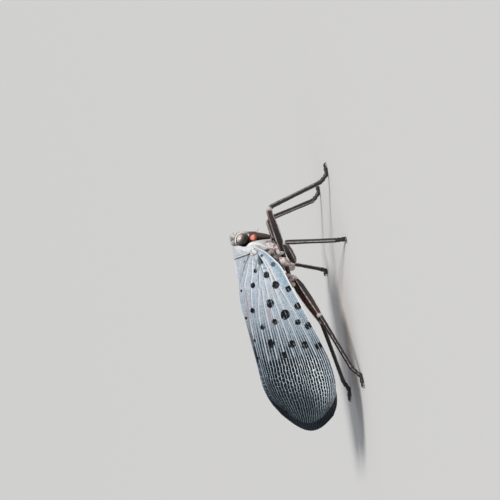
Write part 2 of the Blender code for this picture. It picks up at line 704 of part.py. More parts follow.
def settle():
    """Centres everything over the floor and turns millimetres into metres."""
    nodes = [o for o in bpy.context.scene.objects if o.type == "MESH"]
    corners = np.vstack([[v.co for v in o.data.vertices] for o in nodes])
    low, high = corners.min(0), corners.max(0)
    middle = (low + high) / 2
    move = Matrix.Scale(MM, 4) @ Matrix.Translation((-middle[0], -middle[1], -low[2]))
    root = bpy.data.objects.new("spotted_lanternfly", None)
    bpy.context.scene.collection.objects.link(root)
    for o in nodes:
        o.data.transform(move)
        o.data.shade_smooth()
        o.data.set_sharp_from_angle(angle=math.radians(40))
        o.parent = root


for old in list(bpy.data.objects):
    bpy.data.objects.remove(old)
make_head()
make_thorax()
make_abdomen()
for side, word in ((1, "l"), (-1, "r")):
    make_forewing(f"forewing_{word}", side)
    make_hindwing(f"hindwing_{word}", side)
for word, places in LEGS.items():
    make_leg(word, *places)
settle()
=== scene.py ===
"""The looks of a spotted lanternfly that stands with its forewings folded over its back.

Shapes are worked out in millimetres. In the body's frame the origin is on the ridge of the wings at
their roots, X runs to the insect's left, Y to its tail and Z out of its back.
"""

import math

import bmesh
import bpy
import numpy as np
from mathutils import Matrix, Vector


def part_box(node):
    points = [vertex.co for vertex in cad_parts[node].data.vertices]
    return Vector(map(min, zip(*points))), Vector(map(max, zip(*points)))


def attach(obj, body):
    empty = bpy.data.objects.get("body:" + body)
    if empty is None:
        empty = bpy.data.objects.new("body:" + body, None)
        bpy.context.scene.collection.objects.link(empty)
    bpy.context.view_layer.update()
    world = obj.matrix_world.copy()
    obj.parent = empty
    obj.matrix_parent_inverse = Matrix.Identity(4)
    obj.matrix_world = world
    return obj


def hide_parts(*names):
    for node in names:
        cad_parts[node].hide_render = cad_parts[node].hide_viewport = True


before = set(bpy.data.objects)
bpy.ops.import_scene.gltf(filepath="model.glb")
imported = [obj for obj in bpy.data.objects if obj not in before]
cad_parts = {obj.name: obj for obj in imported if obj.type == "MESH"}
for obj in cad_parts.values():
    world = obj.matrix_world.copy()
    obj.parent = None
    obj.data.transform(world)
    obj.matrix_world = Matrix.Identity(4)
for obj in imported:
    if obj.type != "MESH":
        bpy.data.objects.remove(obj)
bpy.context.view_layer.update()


# Head: a short capsule of hard, wax-dusted skin with a keeled face. The compound eyes sit in cups on
# its sides, with an antenna under each, and a beak is folded back from its lower end.

MM = 0.001
BODY_PITCH, BODY_ROLL = math.radians(2.5), math.radians(4.0)      # tail up and left side down
ROLL_CENTRE = np.array([0.0, 0.0, -5.0])
RIDGE_HEIGHT = 12.5                # of the body frame's origin above the floor
EYE_NODE = np.array([1.52, -2.22, -1.45])     # the middle of the node eye_l in the body's frame
EYE_CENTRE = np.array([1.52, -2.12, -1.35])
EYE_RADII = np.array([0.62, 0.74, 0.73])


def to_stance(points):
    """Body frame to the frame of the floor: pitched and rolled about the body's middle, then lifted."""
    pitch = np.array(Matrix.Rotation(-BODY_PITCH, 3, "X"))
    roll = np.array(Matrix.Rotation(BODY_ROLL, 3, "Y"))
    turned = (np.asarray(points, float) - ROLL_CENTRE) @ pitch.T @ roll.T
    return turned + ROLL_CENTRE + [0.0, 0.0, RIDGE_HEIGHT]


ORIGIN = np.mean(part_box("eye_l"), axis=0) - to_stance(EYE_NODE) * MM


def stand(points):
    """Points of the floor's frame, in millimetres, as places in the model."""
    return np.asarray(points, float) * MM + ORIGIN


def place(points, side=1):
    """Points of the body's frame, in millimetres, as places in the model; a side of -1 mirrors them."""
    return stand(to_stance(np.asarray(points, float) * [side, 1.0, 1.0]))


def ease(value, low, high):
    """0 at low and before it, 1 at high and past it, and an S-curve between; low may be the larger."""
    t = np.clip((np.asarray(value, float) - low) / (high - low), 0.0, 1.0)
    return t * t * (3.0 - 2.0 * t)


def hump(value, centre, half_width):
    """A smooth bump of height 1 at the centre that ends half a width to either side."""
    return ease(np.abs(np.asarray(value, float) - centre), half_width, 0.0)


def welt(value, centre, half_width, height):
    """A hump of the given height, or a groove where the height is below 0."""
    return height * hump(value, centre, half_width)


def length_of(v):
    """Lengths of the vectors along the last axis."""
    return np.linalg.norm(v, axis=-1)


def unit(v):
    """The vectors along the last axis, at length 1."""
    v = np.asarray(v, float)
    return v / np.maximum(length_of(v)[..., None], 1e-12)


def run_along(line):
    """The length of the line up to each of its points."""
    return np.concatenate([[0], np.cumsum(length_of(np.diff(line, axis=0)))])


def at_runs(line, known, wanted):
    """Points of the line, which are known at some numbers, at the wanted ones."""
    return np.stack([np.interp(wanted, known, line[:, k]) for k in range(line.shape[1])], -1)


def through(points, count, rounds=16):
    """count points, evenly spaced along the smooth curve that runs through the given ones."""
    p = np.asarray(points, float)
    p = np.vstack([2 * p[0] - p[1], p, 2 * p[-1] - p[-2]])
    t = np.linspace(0, 1, rounds, endpoint=False)[:, None]
    spans = []
    for a, b, c, d in zip(p, p[1:], p[2:], p[3:]):
        spans.append(0.5 * (2 * b + (c - a) * t + (2 * a - 5 * b + 4 * c - d) * t**2
                            + (3 * b - a - 3 * c + d) * t**3))
    line = np.vstack([*spans, p[-2:-1]])
    run = run_along(line)
    return at_runs(line, run, np.linspace(0, run[-1], count))


def turns(count):
    """Angles around a ring, evenly spaced from 0."""
    return np.linspace(0, 2 * math.pi, count, endpoint=False)


def squarish(wave, power):
    """A sine or cosine to a power with its sign kept, which makes a superellipse of a circle."""
    return np.sign(wave) * np.abs(wave) ** power


def outward(rings):
    """Unit normals of a skin over closed rings, turned away from each ring's middle."""
    around = np.roll(rings, -1, axis=1) - np.roll(rings, 1, axis=1)
    normal = unit(np.cross(np.gradient(rings, axis=0), around))
    away = rings - rings.mean(1, keepdims=True)
    return normal * np.sign((normal * away).sum(-1).mean())


def raised(rings, lift):
    """The rings moved out along their normals by a lift in millimetres."""
    return rings + lift[..., None] * outward(rings)


def shown(name, data):
    """An object of a mesh, a lamp or a camera, in the scene."""
    made = bpy.data.objects.new(name, data)
    bpy.context.scene.collection.objects.link(made)
    return made


def make_piece(name, points, faces, finish, nodes, values=None, sharp=50):
    """A closed mesh of points in metres and lists of faces, its outside turned outwards.

    values holds a number for each point under each name, for the finish to read. Edges that turn by
    more than the angle sharp stay sharp. The piece stands for the given nodes.
    """
    mesh = bpy.data.meshes.new(name)
    mesh.from_pydata(points.tolist(), [], [face for group in faces for face in group.tolist()])
    for key, numbers in (values or {}).items():
        layer = mesh.attributes.new(key, "FLOAT", "POINT")
        layer.data.foreach_set("value", np.asarray(numbers, np.float32).ravel())
    work = bmesh.new()
    work.from_mesh(mesh)
    bmesh.ops.recalc_face_normals(work, faces=work.faces)
    work.to_mesh(mesh)
    work.free()
    mesh.shade_smooth()
    mesh.set_sharp_from_angle(angle=math.radians(sharp))
    mesh.materials.append(finish.material)
    made = shown(name, mesh)
    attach(made, "root")
    if nodes:
        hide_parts(*nodes)
    return made


def skin(name, rings, finish, nodes, values=None):
    """A skin over closed rings of points: quads from ring to ring, and a fan over each end."""
    rows, columns = rings.shape[:2]
    points = np.vstack([rings.reshape(-1, 3), rings[0].mean(0), rings[-1].mean(0)])
    here = np.arange(rows * columns).reshape(rows, columns)
    beside = np.roll(here, -1, axis=1)
    sides = np.stack([here[:-1], beside[:-1], beside[1:], here[1:]], -1).reshape(-1, 4)
    begin = np.stack([beside[0], here[0], np.full(columns, rows * columns)], -1)
    end = np.stack([here[-1], beside[-1], np.full(columns, rows * columns + 1)], -1)
    painted = {}
    for key, numbers in (values or {}).items():
        numbers = np.broadcast_to(numbers, (rows, columns))
        painted[key] = np.concatenate([numbers.ravel(), [numbers[0].mean(), numbers[-1].mean()]])
    return make_piece(name, points, [sides, begin, end], finish, nodes, painted)


class Finish:
    """A material whose colour, roughness and relief are worked out by nodes on its own surface.

    Wherever it takes a number, that may be another node's output, or the name of a number that the
    piece carries. Its tone is the colour so far, and each coat or stain goes over that.
    """

    def __init__(self, name, tone, **settings):
        self.material = bpy.data.materials.new(name)
        self.material.use_nodes = True
        self.tree = self.material.node_tree
        self.shader = self.tree.nodes["Principled BSDF"]
        self.place = self.add("ShaderNodeTexCoord", {}).outputs["Object"]
        for socket, value in settings.items():
            self.shader.inputs[socket.replace("_", " ")].default_value = value
        self.base(tone)

    def add(self, kind, inputs, **settings):
        """A node with its settings made and its inputs fed."""
        node = self.tree.nodes.new(kind)
        for key, value in settings.items():
            setattr(node, key, value)
        for key, value in inputs.items():
            self.feed(node.inputs[key], value)
        return node

    def feed(self, socket, value):
        """Puts a number, a colour, a carried number or another node's output into a socket."""
        if isinstance(value, str):
            value = self.add("ShaderNodeAttribute", {}, attribute_name=value).outputs["Fac"]
        if isinstance(value, bpy.types.NodeSocket):
            self.tree.links.new(value, socket)
        elif isinstance(value, tuple) and len(value) == 3 and socket.type == "RGBA":
            socket.default_value = (*value, 1.0)
        else:
            socket.default_value = value

    def math(self, operation, *numbers):
        """One sum of one to three numbers."""
        return self.add("ShaderNodeMath", dict(enumerate(numbers)), operation=operation).outputs[0]

    def times(self, a, b):
        return self.math("MULTIPLY", a, b)

    def plus(self, a, b):
        return self.math("ADD", a, b)

    def minus(self, a, b):
        return self.math("SUBTRACT", a, b)

    def spread(self, number, low, high, begin=0.0, end=1.0):
        """The number carried from low..high to begin..end along an S-curve, and held beyond them."""
        inputs = {"Value": number, "From Min": low, "From Max": high, "To Min": begin, "To Max": end}
        node = self.add("ShaderNodeMapRange", inputs, interpolation_type="SMOOTHSTEP")
        return node.outputs["Result"]

    def noise(self, size, detail=3.0, stretch=(1.0, 1.0, 1.0), shift=0.0):
        """Soft random values about 0.5, with blots of about the given size in millimetres."""
        where = self.place
        if stretch != (1.0, 1.0, 1.0) or shift:
            moved = {"Vector": where, "Scale": stretch, "Location": (shift, shift, shift)}
            where = self.add("ShaderNodeMapping", moved).outputs[0]
        inputs = {"Vector": where, "Scale": 1.0 / (size * MM), "Detail": detail}
        return self.add("ShaderNodeTexNoise", inputs).outputs["Fac"]

    def ragged(self, number, amount, size, detail=3.0, shift=0.0):
        """The number plus noise times an amount, so that a border drawn by it wanders."""
        return self.plus(number, self.times(self.noise(size, detail, shift=shift), amount))

    def stray(self, amount, size, detail=3.0, shift=0.0):
        """A soft random number about 0, of at most half the amount to either side."""
        return self.times(self.minus(self.noise(size, detail, shift=shift), 0.5), amount)

    def cells(self, size, spread):
        """Distance to the nearest of points that lie about the given millimetres apart."""
        inputs = {"Vector": self.place, "Scale": 1.0 / (size * MM), "Randomness": spread}
        return self.add("ShaderNodeTexVoronoi", inputs).outputs["Distance"]

    def mix(self, share, a, b):
        """Colour a, turned into colour b by the given share."""
        return self.add("ShaderNodeMix", {0: share, 6: a, 7: b}, data_type="RGBA").outputs[2]

    def base(self, tone):
        """Makes this the colour of the surface."""
        self.tone = tone
        self.feed(self.shader.inputs["Base Color"], tone)

    def coat(self, share, tone):
        """Lays a tone over the colour so far, as thickly as the share says."""
        self.base(self.mix(share, self.tone, tone))

    def stain(self, number, low, high, tone, thick=1.0, thin=0.0):
        """Lays a tone over the colour so far, thin up to low and thick from high on."""
        self.coat(self.spread(number, low, high, thin, thick), tone)

    def rough(self, value):
        self.feed(self.shader.inputs["Roughness"], value)

    def relief(self, height, depth):
        """Raises the surface by the height, which runs from 0 to 1, times a depth in millimetres."""
        bump = self.add("ShaderNodeBump", {"Height": height, "Distance": depth * MM, "Strength": 1.0})
        normal = self.shader.inputs["Normal"]
        if normal.is_linked:
            self.feed(bump.inputs["Normal"], normal.links[0].from_socket)
        self.feed(normal, bump.outputs[0])


HEAD_LEVELS = (
    # (z, front, back, half width) from the crown to the lower end of the face
    (0.08, -2.98, -2.10, 0.42), (-0.12, -3.24, -1.80, 0.85), (-0.50, -3.37, -1.60, 1.22),
    (-1.10, -3.30, -1.42, 1.48), (-1.80, -3.14, -1.42, 1.56), (-2.60, -3.00, -1.52, 1.42),
    (-3.20, -2.88, -1.68, 1.12), (-3.75, -2.70, -1.75, 0.88), (-4.35, -2.46, -1.75, 0.66),
    (-4.85, -2.22, -1.80, 0.40),
)
FACE_SQUARENESS = 0.8
FACE_TOP = -0.25
# Each welt or groove is (middle, half width, height). These lie across the face, in shares of its
# half width:
SIDE_KEEL, MIDDLE_KEEL, FACE_HOLLOW = (0.62, 0.22, 0.12), (0.0, 0.10, 0.05), (0.33, 0.30, -0.06)
# These lie down the face and along the crown, in millimetres:
LIP_SEAM, BROW = (-3.25, 0.09, -0.07), (-0.12, 0.30, 0.05)
FRONT_LOBE, REAR_LOBE = (-2.82, 0.36, 0.07), (-2.06, 0.26, 0.07)
# These lie around the eye, in its own radii, and around the antenna's bulb, in millimetres:
EYE_RIM, EYE_DITCH, BULB_RIM = (1.16, 0.20, 0.09), (1.40, 0.12, -0.05), (0.47, 0.14, 0.06)
CROWN_NOTCH, NOTCH_DEPTH = (-2.40, 0.14), 0.12     # y and half width of the groove across the crown
CROWN_SPOT = ((-2.62, 0.22), (-0.16, 0.34))        # the same in y and z
CARINA_PLACE, CARINA_STRETCH = (-2.55, -2.16), 2.2  # (y, z) of the short keel from eye to antenna
CARINA_REACH, CARINA_HEIGHT = 0.15, 0.08
BULB_CENTRE = np.array([1.62, -2.07, -2.72])
BULB_RADIUS = 0.41


def pit(points, centre, radii, deeper):
    """The points that lie inside an ellipsoid, pushed inwards along X to its far side."""
    off = (points - centre) / radii
    flat = np.clip(1.0 - off[..., 1] ** 2 - off[..., 2] ** 2, 0.0, 1.0)
    floor = centre[0] - radii[0] * deeper * np.sqrt(flat)
    inside = (off**2).sum(-1) < 1.0
    points = points.copy()
    points[..., 0] = np.where(inside, np.minimum(points[..., 0], floor), points[..., 0])
    return points


def head_rings(rows=190, columns=240):
    """The capsule: squarish rings at each level, with keels, rims and pits raised on it."""
    level = through(HEAD_LEVELS, rows)[:, None]
    height, front, back, half = (level[..., k] for k in range(4))
    sine, cosine = np.sin(turns(columns)), np.cos(turns(columns))
    x = half * squarish(sine, FACE_SQUARENESS)
    y = (front + back) / 2 - (back - front) / 2 * squarish(cosine, FACE_SQUARENESS)
    rings = np.stack([x, y, height + 0 * x], -1)
    z = rings[..., 2]

    share = np.abs(x) / half
    face = ease(cosine, 0.1, 0.5) * ease(z, FACE_TOP, FACE_TOP - 0.3)
    frons = face * ease(z, LIP_SEAM[0] - 0.1, LIP_SEAM[0] + 0.2)
    lift = frons * (welt(share, *SIDE_KEEL) + welt(share, *FACE_HOLLOW))
    lift += face * (welt(share, *MIDDLE_KEEL) + welt(z, *LIP_SEAM))
    lift += (1 - face) * welt(z, *BROW) * ease(cosine, -0.9, -0.2)

    right_way = np.abs(rings) * [1, -1, -1]
    around_eye = length_of(((right_way - EYE_CENTRE) / EYE_RADII)[..., 1:])
    around_bulb = length_of((right_way - BULB_CENTRE)[..., 1:])
    crown = ease(z, -0.95, -0.45)
    notch = hump(y, *CROWN_NOTCH) * crown * ease(around_eye, 1.32, 1.60)
    lift += crown * (welt(y, *FRONT_LOBE) + welt(y, *REAR_LOBE) - NOTCH_DEPTH * notch)

    at_side = ease(np.abs(sine), 0.55, 0.8)
    off_carina = np.hypot((y - CARINA_PLACE[0]) / CARINA_STRETCH, z - CARINA_PLACE[1])
    carina = hump(off_carina, 0.0, CARINA_REACH) * at_side
    lift += CARINA_HEIGHT * carina
    lift += at_side * (welt(around_eye, *EYE_RIM) + welt(around_eye, *EYE_DITCH)
                       + welt(around_bulb, *BULB_RIM))
    rings = raised(rings, lift)

    to_left = np.where(rings[..., :1] < 0, [-1.0, 1.0, 1.0], 1.0)
    left = pit(rings * to_left, EYE_CENTRE, EYE_RADII * 1.03, 0.92)
    left = pit(left, BULB_CENTRE, np.full(3, BULB_RADIUS * 1.02), 0.8)
    rings = left * to_left
    spot = hump(rings[..., 1], *CROWN_SPOT[0]) * hump(rings[..., 2], *CROWN_SPOT[1])
    return rings, {
        "around_eye": around_eye + 2 * (1 - at_side), "level": height,
        "keel": np.maximum(0.5 * frons * hump(share, SIDE_KEEL[0], 0.10), carina),
        "socket": ease(around_bulb, 0.66, 0.42), "lines": np.maximum(notch, spot),
        "rear": ease(rings[..., 1], -1.74, -1.60),
    }


LAVENDER, WAX_WHITE, WAX_SHADE = (0.56, 0.56, 0.60), (0.78, 0.77, 0.75), (0.32, 0.30, 0.33)
OLIVE, UMBER, PITCH_BLACK = (0.20, 0.16, 0.10), (0.10, 0.055, 0.035), (0.018, 0.014, 0.014)
FACE_BROWN_AND_SHADE, RIM_CREAM, WAX_GRAIN = (0.060, 0.032, 0.022), (0.82, 0.79, 0.72), (0.9, 0.9, 0.9)


def wax_skin(name, pale, dust, dark):
    """Hard skin under a bloom of wax: pale where the wax lies thick, darker where it is rubbed off."""
    finish = Finish(name, pale, Specular_IOR_Level=0.4, Coat_Weight=0.08, Coat_Roughness=0.4)
    rubbed = finish.spread(finish.noise(0.5, 6), 0.50, 0.66)
    grain = finish.noise(0.06, 3)
    finish.stain(finish.noise(0.9, 3, shift=0.01), 0.35, 0.65, dust)
    finish.coat(finish.times(rubbed, 0.45), dark)
    finish.stain(grain, 0.42, 0.6, WAX_GRAIN, 0.10)
    finish.rough(finish.spread(rubbed, 0.0, 1.0, 0.62, 0.42))
    finish.relief(grain, 0.012)
    finish.relief(finish.noise(0.3, 4), 0.02)
    return finish


head_wax = wax_skin("head_wax", WAX_WHITE, LAVENDER, OLIVE)
head_wax.stain(head_wax.noise(0.35, 5, shift=0.03), 0.40, 0.60, WAX_SHADE, 0.75, 0.15)
# The head turns brown from about the eyes' middle down: partly its own colour, partly painted shade.
head_wax.stain(head_wax.ragged("level", 1.0, 0.5, 5), -1.95, -1.15, FACE_BROWN_AND_SHADE, 0.0, 0.95)
head_wax.stain("lines", 0.15, 0.75, OLIVE, 0.9)
head_wax.stain("rear", 0.1, 0.9, OLIVE, 0.75)
head_wax.stain("around_eye", 1.50, 1.38, UMBER, 0.85)
eye_rim = head_wax.times(head_wax.spread("around_eye", 1.33, 1.25), head_wax.spread("level", -1.95, -1.55))
head_wax.coat(eye_rim, RIM_CREAM)
head_wax.stain("around_eye", 1.10, 1.05, PITCH_BLACK)
head_wax.stain("socket", 0.2, 0.9, PITCH_BLACK)
head_wax.stain("keel", 0.2, 0.7, WAX_WHITE)
rings, values = head_rings()
skin("head_capsule", place(rings), head_wax, ["head"], values)

# Eyes: large glossy compound eyes of hundreds of fine facets, each a lens of clear hard skin. They run
# from cream above and in front through grey-brown to nearly black below and behind: partly their own
# paler top, and partly a painted highlight and painted shade for light from above and in front.

SIDES = ((1, "l"), (-1, "r"))
FACET = 0.045                      # from the middle of one facet to the next
PAINTED_LIGHT_WAY = unit([0.38, -0.53, 0.76])          # towards the painted highlight on the left eye
EYE_BLACK, EYE_BROWN, EYE_HIGHLIGHT_CREAM = (0.004, 0.003, 0.003), (0.16, 0.12, 0.095), (0.80, 0.74, 0.65)
EYE_CLOUD, FACET_SEAM = (0.05, 0.032, 0.025), (0.01, 0.008, 0.008)


def ball_rings(rows, columns):
    """A ball of radius 1 as rings about the X axis: (cos a, sin a cos b, sin a sin b)."""
    a, b = np.linspace(0, math.pi, rows + 2)[1:-1, None], turns(columns)
    return np.stack([np.cos(a) + 0 * b, np.sin(a) * np.cos(b), np.sin(a) * np.sin(b)], -1)


eye_lens = Finish("eye_facets", EYE_BLACK, Roughness=0.16, Specular_IOR_Level=0.45, Coat_Weight=0.35,
                  Coat_Roughness=0.06)
# The eye's colour follows the painted light: cream for a painted highlight, near black for painted shade.
eye_lens.stain("painted_light", 0.12, 0.60, EYE_BROWN)
eye_lens.stain("painted_light", 0.50, 0.92, EYE_HIGHLIGHT_CREAM)
eye_lens.stain(eye_lens.noise(0.25, 4), 0.45, 0.7, EYE_CLOUD, 0.30)
facet = eye_lens.cells(FACET, spread=0.25)
eye_lens.stain(facet, 0.35, 0.6, FACET_SEAM, 0.3)
eye_lens.relief(eye_lens.spread(facet, 0.0, 0.6, 1.0, 0.0), 0.006)
ball = ball_rings(70, 110)
for side, word in SIDES:
    skin(f"eye_globe_{word}", place(EYE_CENTRE + ball * EYE_RADII, side), eye_lens, [f"eye_{word}"],
         {"painted_light": ball @ PAINTED_LIGHT_WAY})

# Antennae: a short ring at the root, a waxy orange bulb pitted with sense organs, and a fine bristle
# of dark horn that stands out of the bulb's end.

BRISTLE_WAY = unit([0.75, -0.45, -0.45])
BRISTLE_START, BRISTLE_LENGTH, BRISTLE_LIFT = 0.34, 1.9, 0.12
BRISTLE_TAPER = ((0, 0.08), (0.05, 0.075), (0.10, 0.04), (0.3, 0.03), (1, 0.010))
BULB_STRETCH = [1.0, 1.0, 1.05]
# towards the side of the bulb that is darkened with painted shade
BULB_PAINTED_SHADE_WAY = unit([0.2, 0.35, -0.9])
SCARLET, CORAL, PIT_PINK = (0.90, 0.17, 0.10), (0.94, 0.31, 0.21), (1.0, 0.62, 0.50)
BULB_PAINTED_SHADE, BRISTLE_BLACK, BRISTLE_BROWN = (0.22, 0.028, 0.02), (0.05, 0.03, 0.025), (0.14, 0.08, 0.06)

bulb_skin = Finish("antenna_bulb", SCARLET, Roughness=0.45, Specular_IOR_Level=0.5, Coat_Weight=0.25,
                   Coat_Roughness=0.3)
bulb_skin.stain(bulb_skin.noise(0.3, 3), 0.3, 0.7, CORAL)
# painted shade: the bulb darkens towards its lower rear side
bulb_skin.stain("under", 0.0, 1.1, BULB_PAINTED_SHADE)
pits = bulb_skin.cells(0.11, spread=0.7)
bulb_skin.stain(pits, 0.30, 0.05, PIT_PINK)
bulb_skin.relief(bulb_skin.spread(pits, 0.05, 0.32, 1.0, 0.0), 0.03)
bristle = Finish("bristle", BRISTLE_BLACK, Roughness=0.5)
bristle.stain(bristle.noise(0.15), 0.4, 0.6, BRISTLE_BROWN)


def swept_rings(line, shape):
    """Closed rings carried along a line of points.

    shape(share, turn) gives how far a ring reaches to its side and down from the line, at each share
    of the line's length and turn around it.
    """
    ahead = unit(np.gradient(line, axis=0))
    side = unit(np.cross(ahead, [0.0, 0.0, 1.0]) + [1e-6, 0.0, 0.0])
    down = np.cross(ahead, side)
    share = (run_along(line) / run_along(line)[-1])[:, None]
    across, deep = shape(share, turns(24)[None])
    return line[:, None] + across[..., None] * side[:, None] + deep[..., None] * down[:, None]


def bristle_section(share, turn):
    """A circle whose radius runs through the bristle's taper."""
    radius = np.interp(share, *zip(*BRISTLE_TAPER))
    return radius * np.cos(turn), radius * np.sin(turn)


ball = ball_rings(64, 96)
lumpy = 1.0 + 0.02 * np.sin(9 * ball[..., 1:2]) * np.sin(8 * ball[..., 2:3])
globe = BULB_CENTRE + ball * BULB_RADIUS * lumpy * BULB_STRETCH
line = BULB_CENTRE + np.linspace(BRISTLE_START, BRISTLE_LENGTH, 40)[:, None] * BRISTLE_WAY
line[:, 2] += BRISTLE_LIFT * np.linspace(0, 1, 40) ** 2
thread = swept_rings(line, bristle_section)
for side, word in SIDES:
    skin(f"antenna_bulb_{word}", place(globe, side), bulb_skin, [f"antenna_{word}"],
         {"under": ball @ BULB_PAINTED_SHADE_WAY})
    skin(f"antenna_bristle_{word}", place(thread, side), bristle, [])

# Beak: a tube of dark horn in three joints, grooved along its underside for the piercing bristles. It
# hangs from the lower end of the face, and is folded back between the legs when it isn't drinking.

BEAK_LINE = ((0, -1.95, -5.15), (0, -1.35, -5.6), (0, 0.2, -5.95), (0, 3.9, -6.25))
BEAK_JOINTS = (0.0, 0.24, 0.56)
BEAK_RADIUS, BEAK_NARROWING = 0.34, 0.09
JOINT_SWELL, JOINT_WAIST = (0.05, 0.04, 0.03), (0.0, 0.012, -0.05)    # welts, from each joint on
BEAK_GROOVE = 0.22
HORN_BLACK, HORN_BROWN, HORN_BLOOM = (0.020, 0.014, 0.013), (0.055, 0.026, 0.018), (0.16, 0.15, 0.16)


def beak_section(share, turn):
    """A round tube that narrows backwards, with a waist at each joint and a groove along its underside."""
    forms = sum(welt(share - joint, *JOINT_SWELL) + welt(share - joint, *JOINT_WAIST)
                for joint in BEAK_JOINTS)
    radius = BEAK_RADIUS - BEAK_NARROWING * share + forms
    radius = radius * np.sqrt(1.003 - (2 * np.clip(share - 0.5, 0, None)) ** 12)
    radius = radius * (1 - BEAK_GROOVE * hump(np.cos(turn - math.pi / 2), 1.0, 0.07))
    return radius * np.cos(turn), radius * np.sin(turn)


def horn(name, gloss=0.35):
    """Dark, polished skin: brown where it is thin, nearly black elsewhere, under a faint grey bloom."""
    finish = Finish(name, HORN_BLACK, Specular_IOR_Level=0.5, Coat_Weight=0.15, Coat_Roughness=0.25)
    finish.stain(finish.noise(0.7, 4), 0.40, 0.70, HORN_BROWN)
    finish.stain(finish.noise(0.12, 4), 0.5, 0.75, HORN_BLOOM, 0.35)
    finish.rough(finish.spread(finish.noise(0.25, 4), 0.35, 0.7, gloss, gloss + 0.25))
    finish.relief(finish.noise(0.07, 3), 0.01)
    return finish


skin("beak", place(swept_rings(through(BEAK_LINE, 160), beak_section)), horn("beak_horn"),
     ["rostrum"])

# Collar: the first ring of the thorax, a wax-white shield above that wraps down both sides in folds.
# Its rear rim meets the wings, and steps forward at each side around the scale over the wing's root.

COLLAR_FRONT, COLLAR_BACK = -1.62, -0.10
COLLAR_HALF_WIDTHS, COLLAR_HALF_HEIGHTS = (2.05, 2.80), (2.5, 2.6)     # at the front and rear rims
COLLAR_POWER = 2 / 2.3
COLLAR_ROUNDING = 0.12             # radius of the rims
COLLAR_ROOM, COLLAR_TENT = 0.12, 0.75          # outside the roof, and how fully it takes that shape
EYE_NOTCH = (0.46, -1.45, 0.62)    # depth, height of its middle and half height, in the front rim
WING_NOTCH = (0.52, -2.60, 0.62)   # the same in the rear rim
COLLAR_LOBE = 0.34                 # how much further back the rim reaches below the wing's root
COLLAR_KEEL = (0.0, 0.34, 0.14)    # middle, half width and height
FOLD_START, FOLD_SLANT = 0.16, 0.22            # share of the length, and how it grows downwards
FOLD_HALF_WIDTH, FOLD_HEIGHT, CREASE_DEPTH = 0.30, 0.12, 0.09
DENT_ACROSS, DENT_ALONG, DENT_DEPTH = (0.95, 0.4), (0.45, 0.3), 0.06   # middle and half width
RIPPLE_HEIGHT, LUMP_HEIGHT = 0.004, 0.022
REAR_BEAD, REAR_GROOVE = (0.95, 0.07, 0.03), (0.87, 0.05, -0.03)
SHOULDER_HALF_WIDTH, ROOF_HALF_WIDTH = 3.9, 5.3    # of the roof that the folded wings make
TIP_NARROWING = 0.7
SHOULDER_DEPTH, ROOF_DEPTH = 5.5, 10.2
RIDGE_BOW = 0.55


def roof_half_width(y):
    """Half width of the roof at the foot of its slope."""
    grown = SHOULDER_HALF_WIDTH + (ROOF_HALF_WIDTH - SHOULDER_HALF_WIDTH) * ease(y, 0.0, 13.0)
    return grown - TIP_NARROWING * ease(y, 15.0, 22.0)


def roof_depth(y):
    """Depth below the ridge at which the slope would stand upright."""
    return SHOULDER_DEPTH + (ROOF_DEPTH - SHOULDER_DEPTH) * ease(y, -1.0, 14.0)


def ridge_height(y):
    """Height of the ridge, which is bowed a little behind the scutellum."""
    return RIDGE_BOW * ease(y, 0.5, 4.5) * ease(y, 13.0, 5.0)


def roof_share(y, z):
    """Share of the roof's depth that a height z lies below the ridge."""
    return np.clip((ridge_height(y) - np.asarray(z, float)) / roof_depth(y), 0.0, 1.0)


def roof_x(y, z):
    """Half width of the roof at a height z: half a parabola, steep below and flatter on top."""
    return roof_half_width(y) * (1.0 - (1.0 - roof_share(y, z)) ** 2)


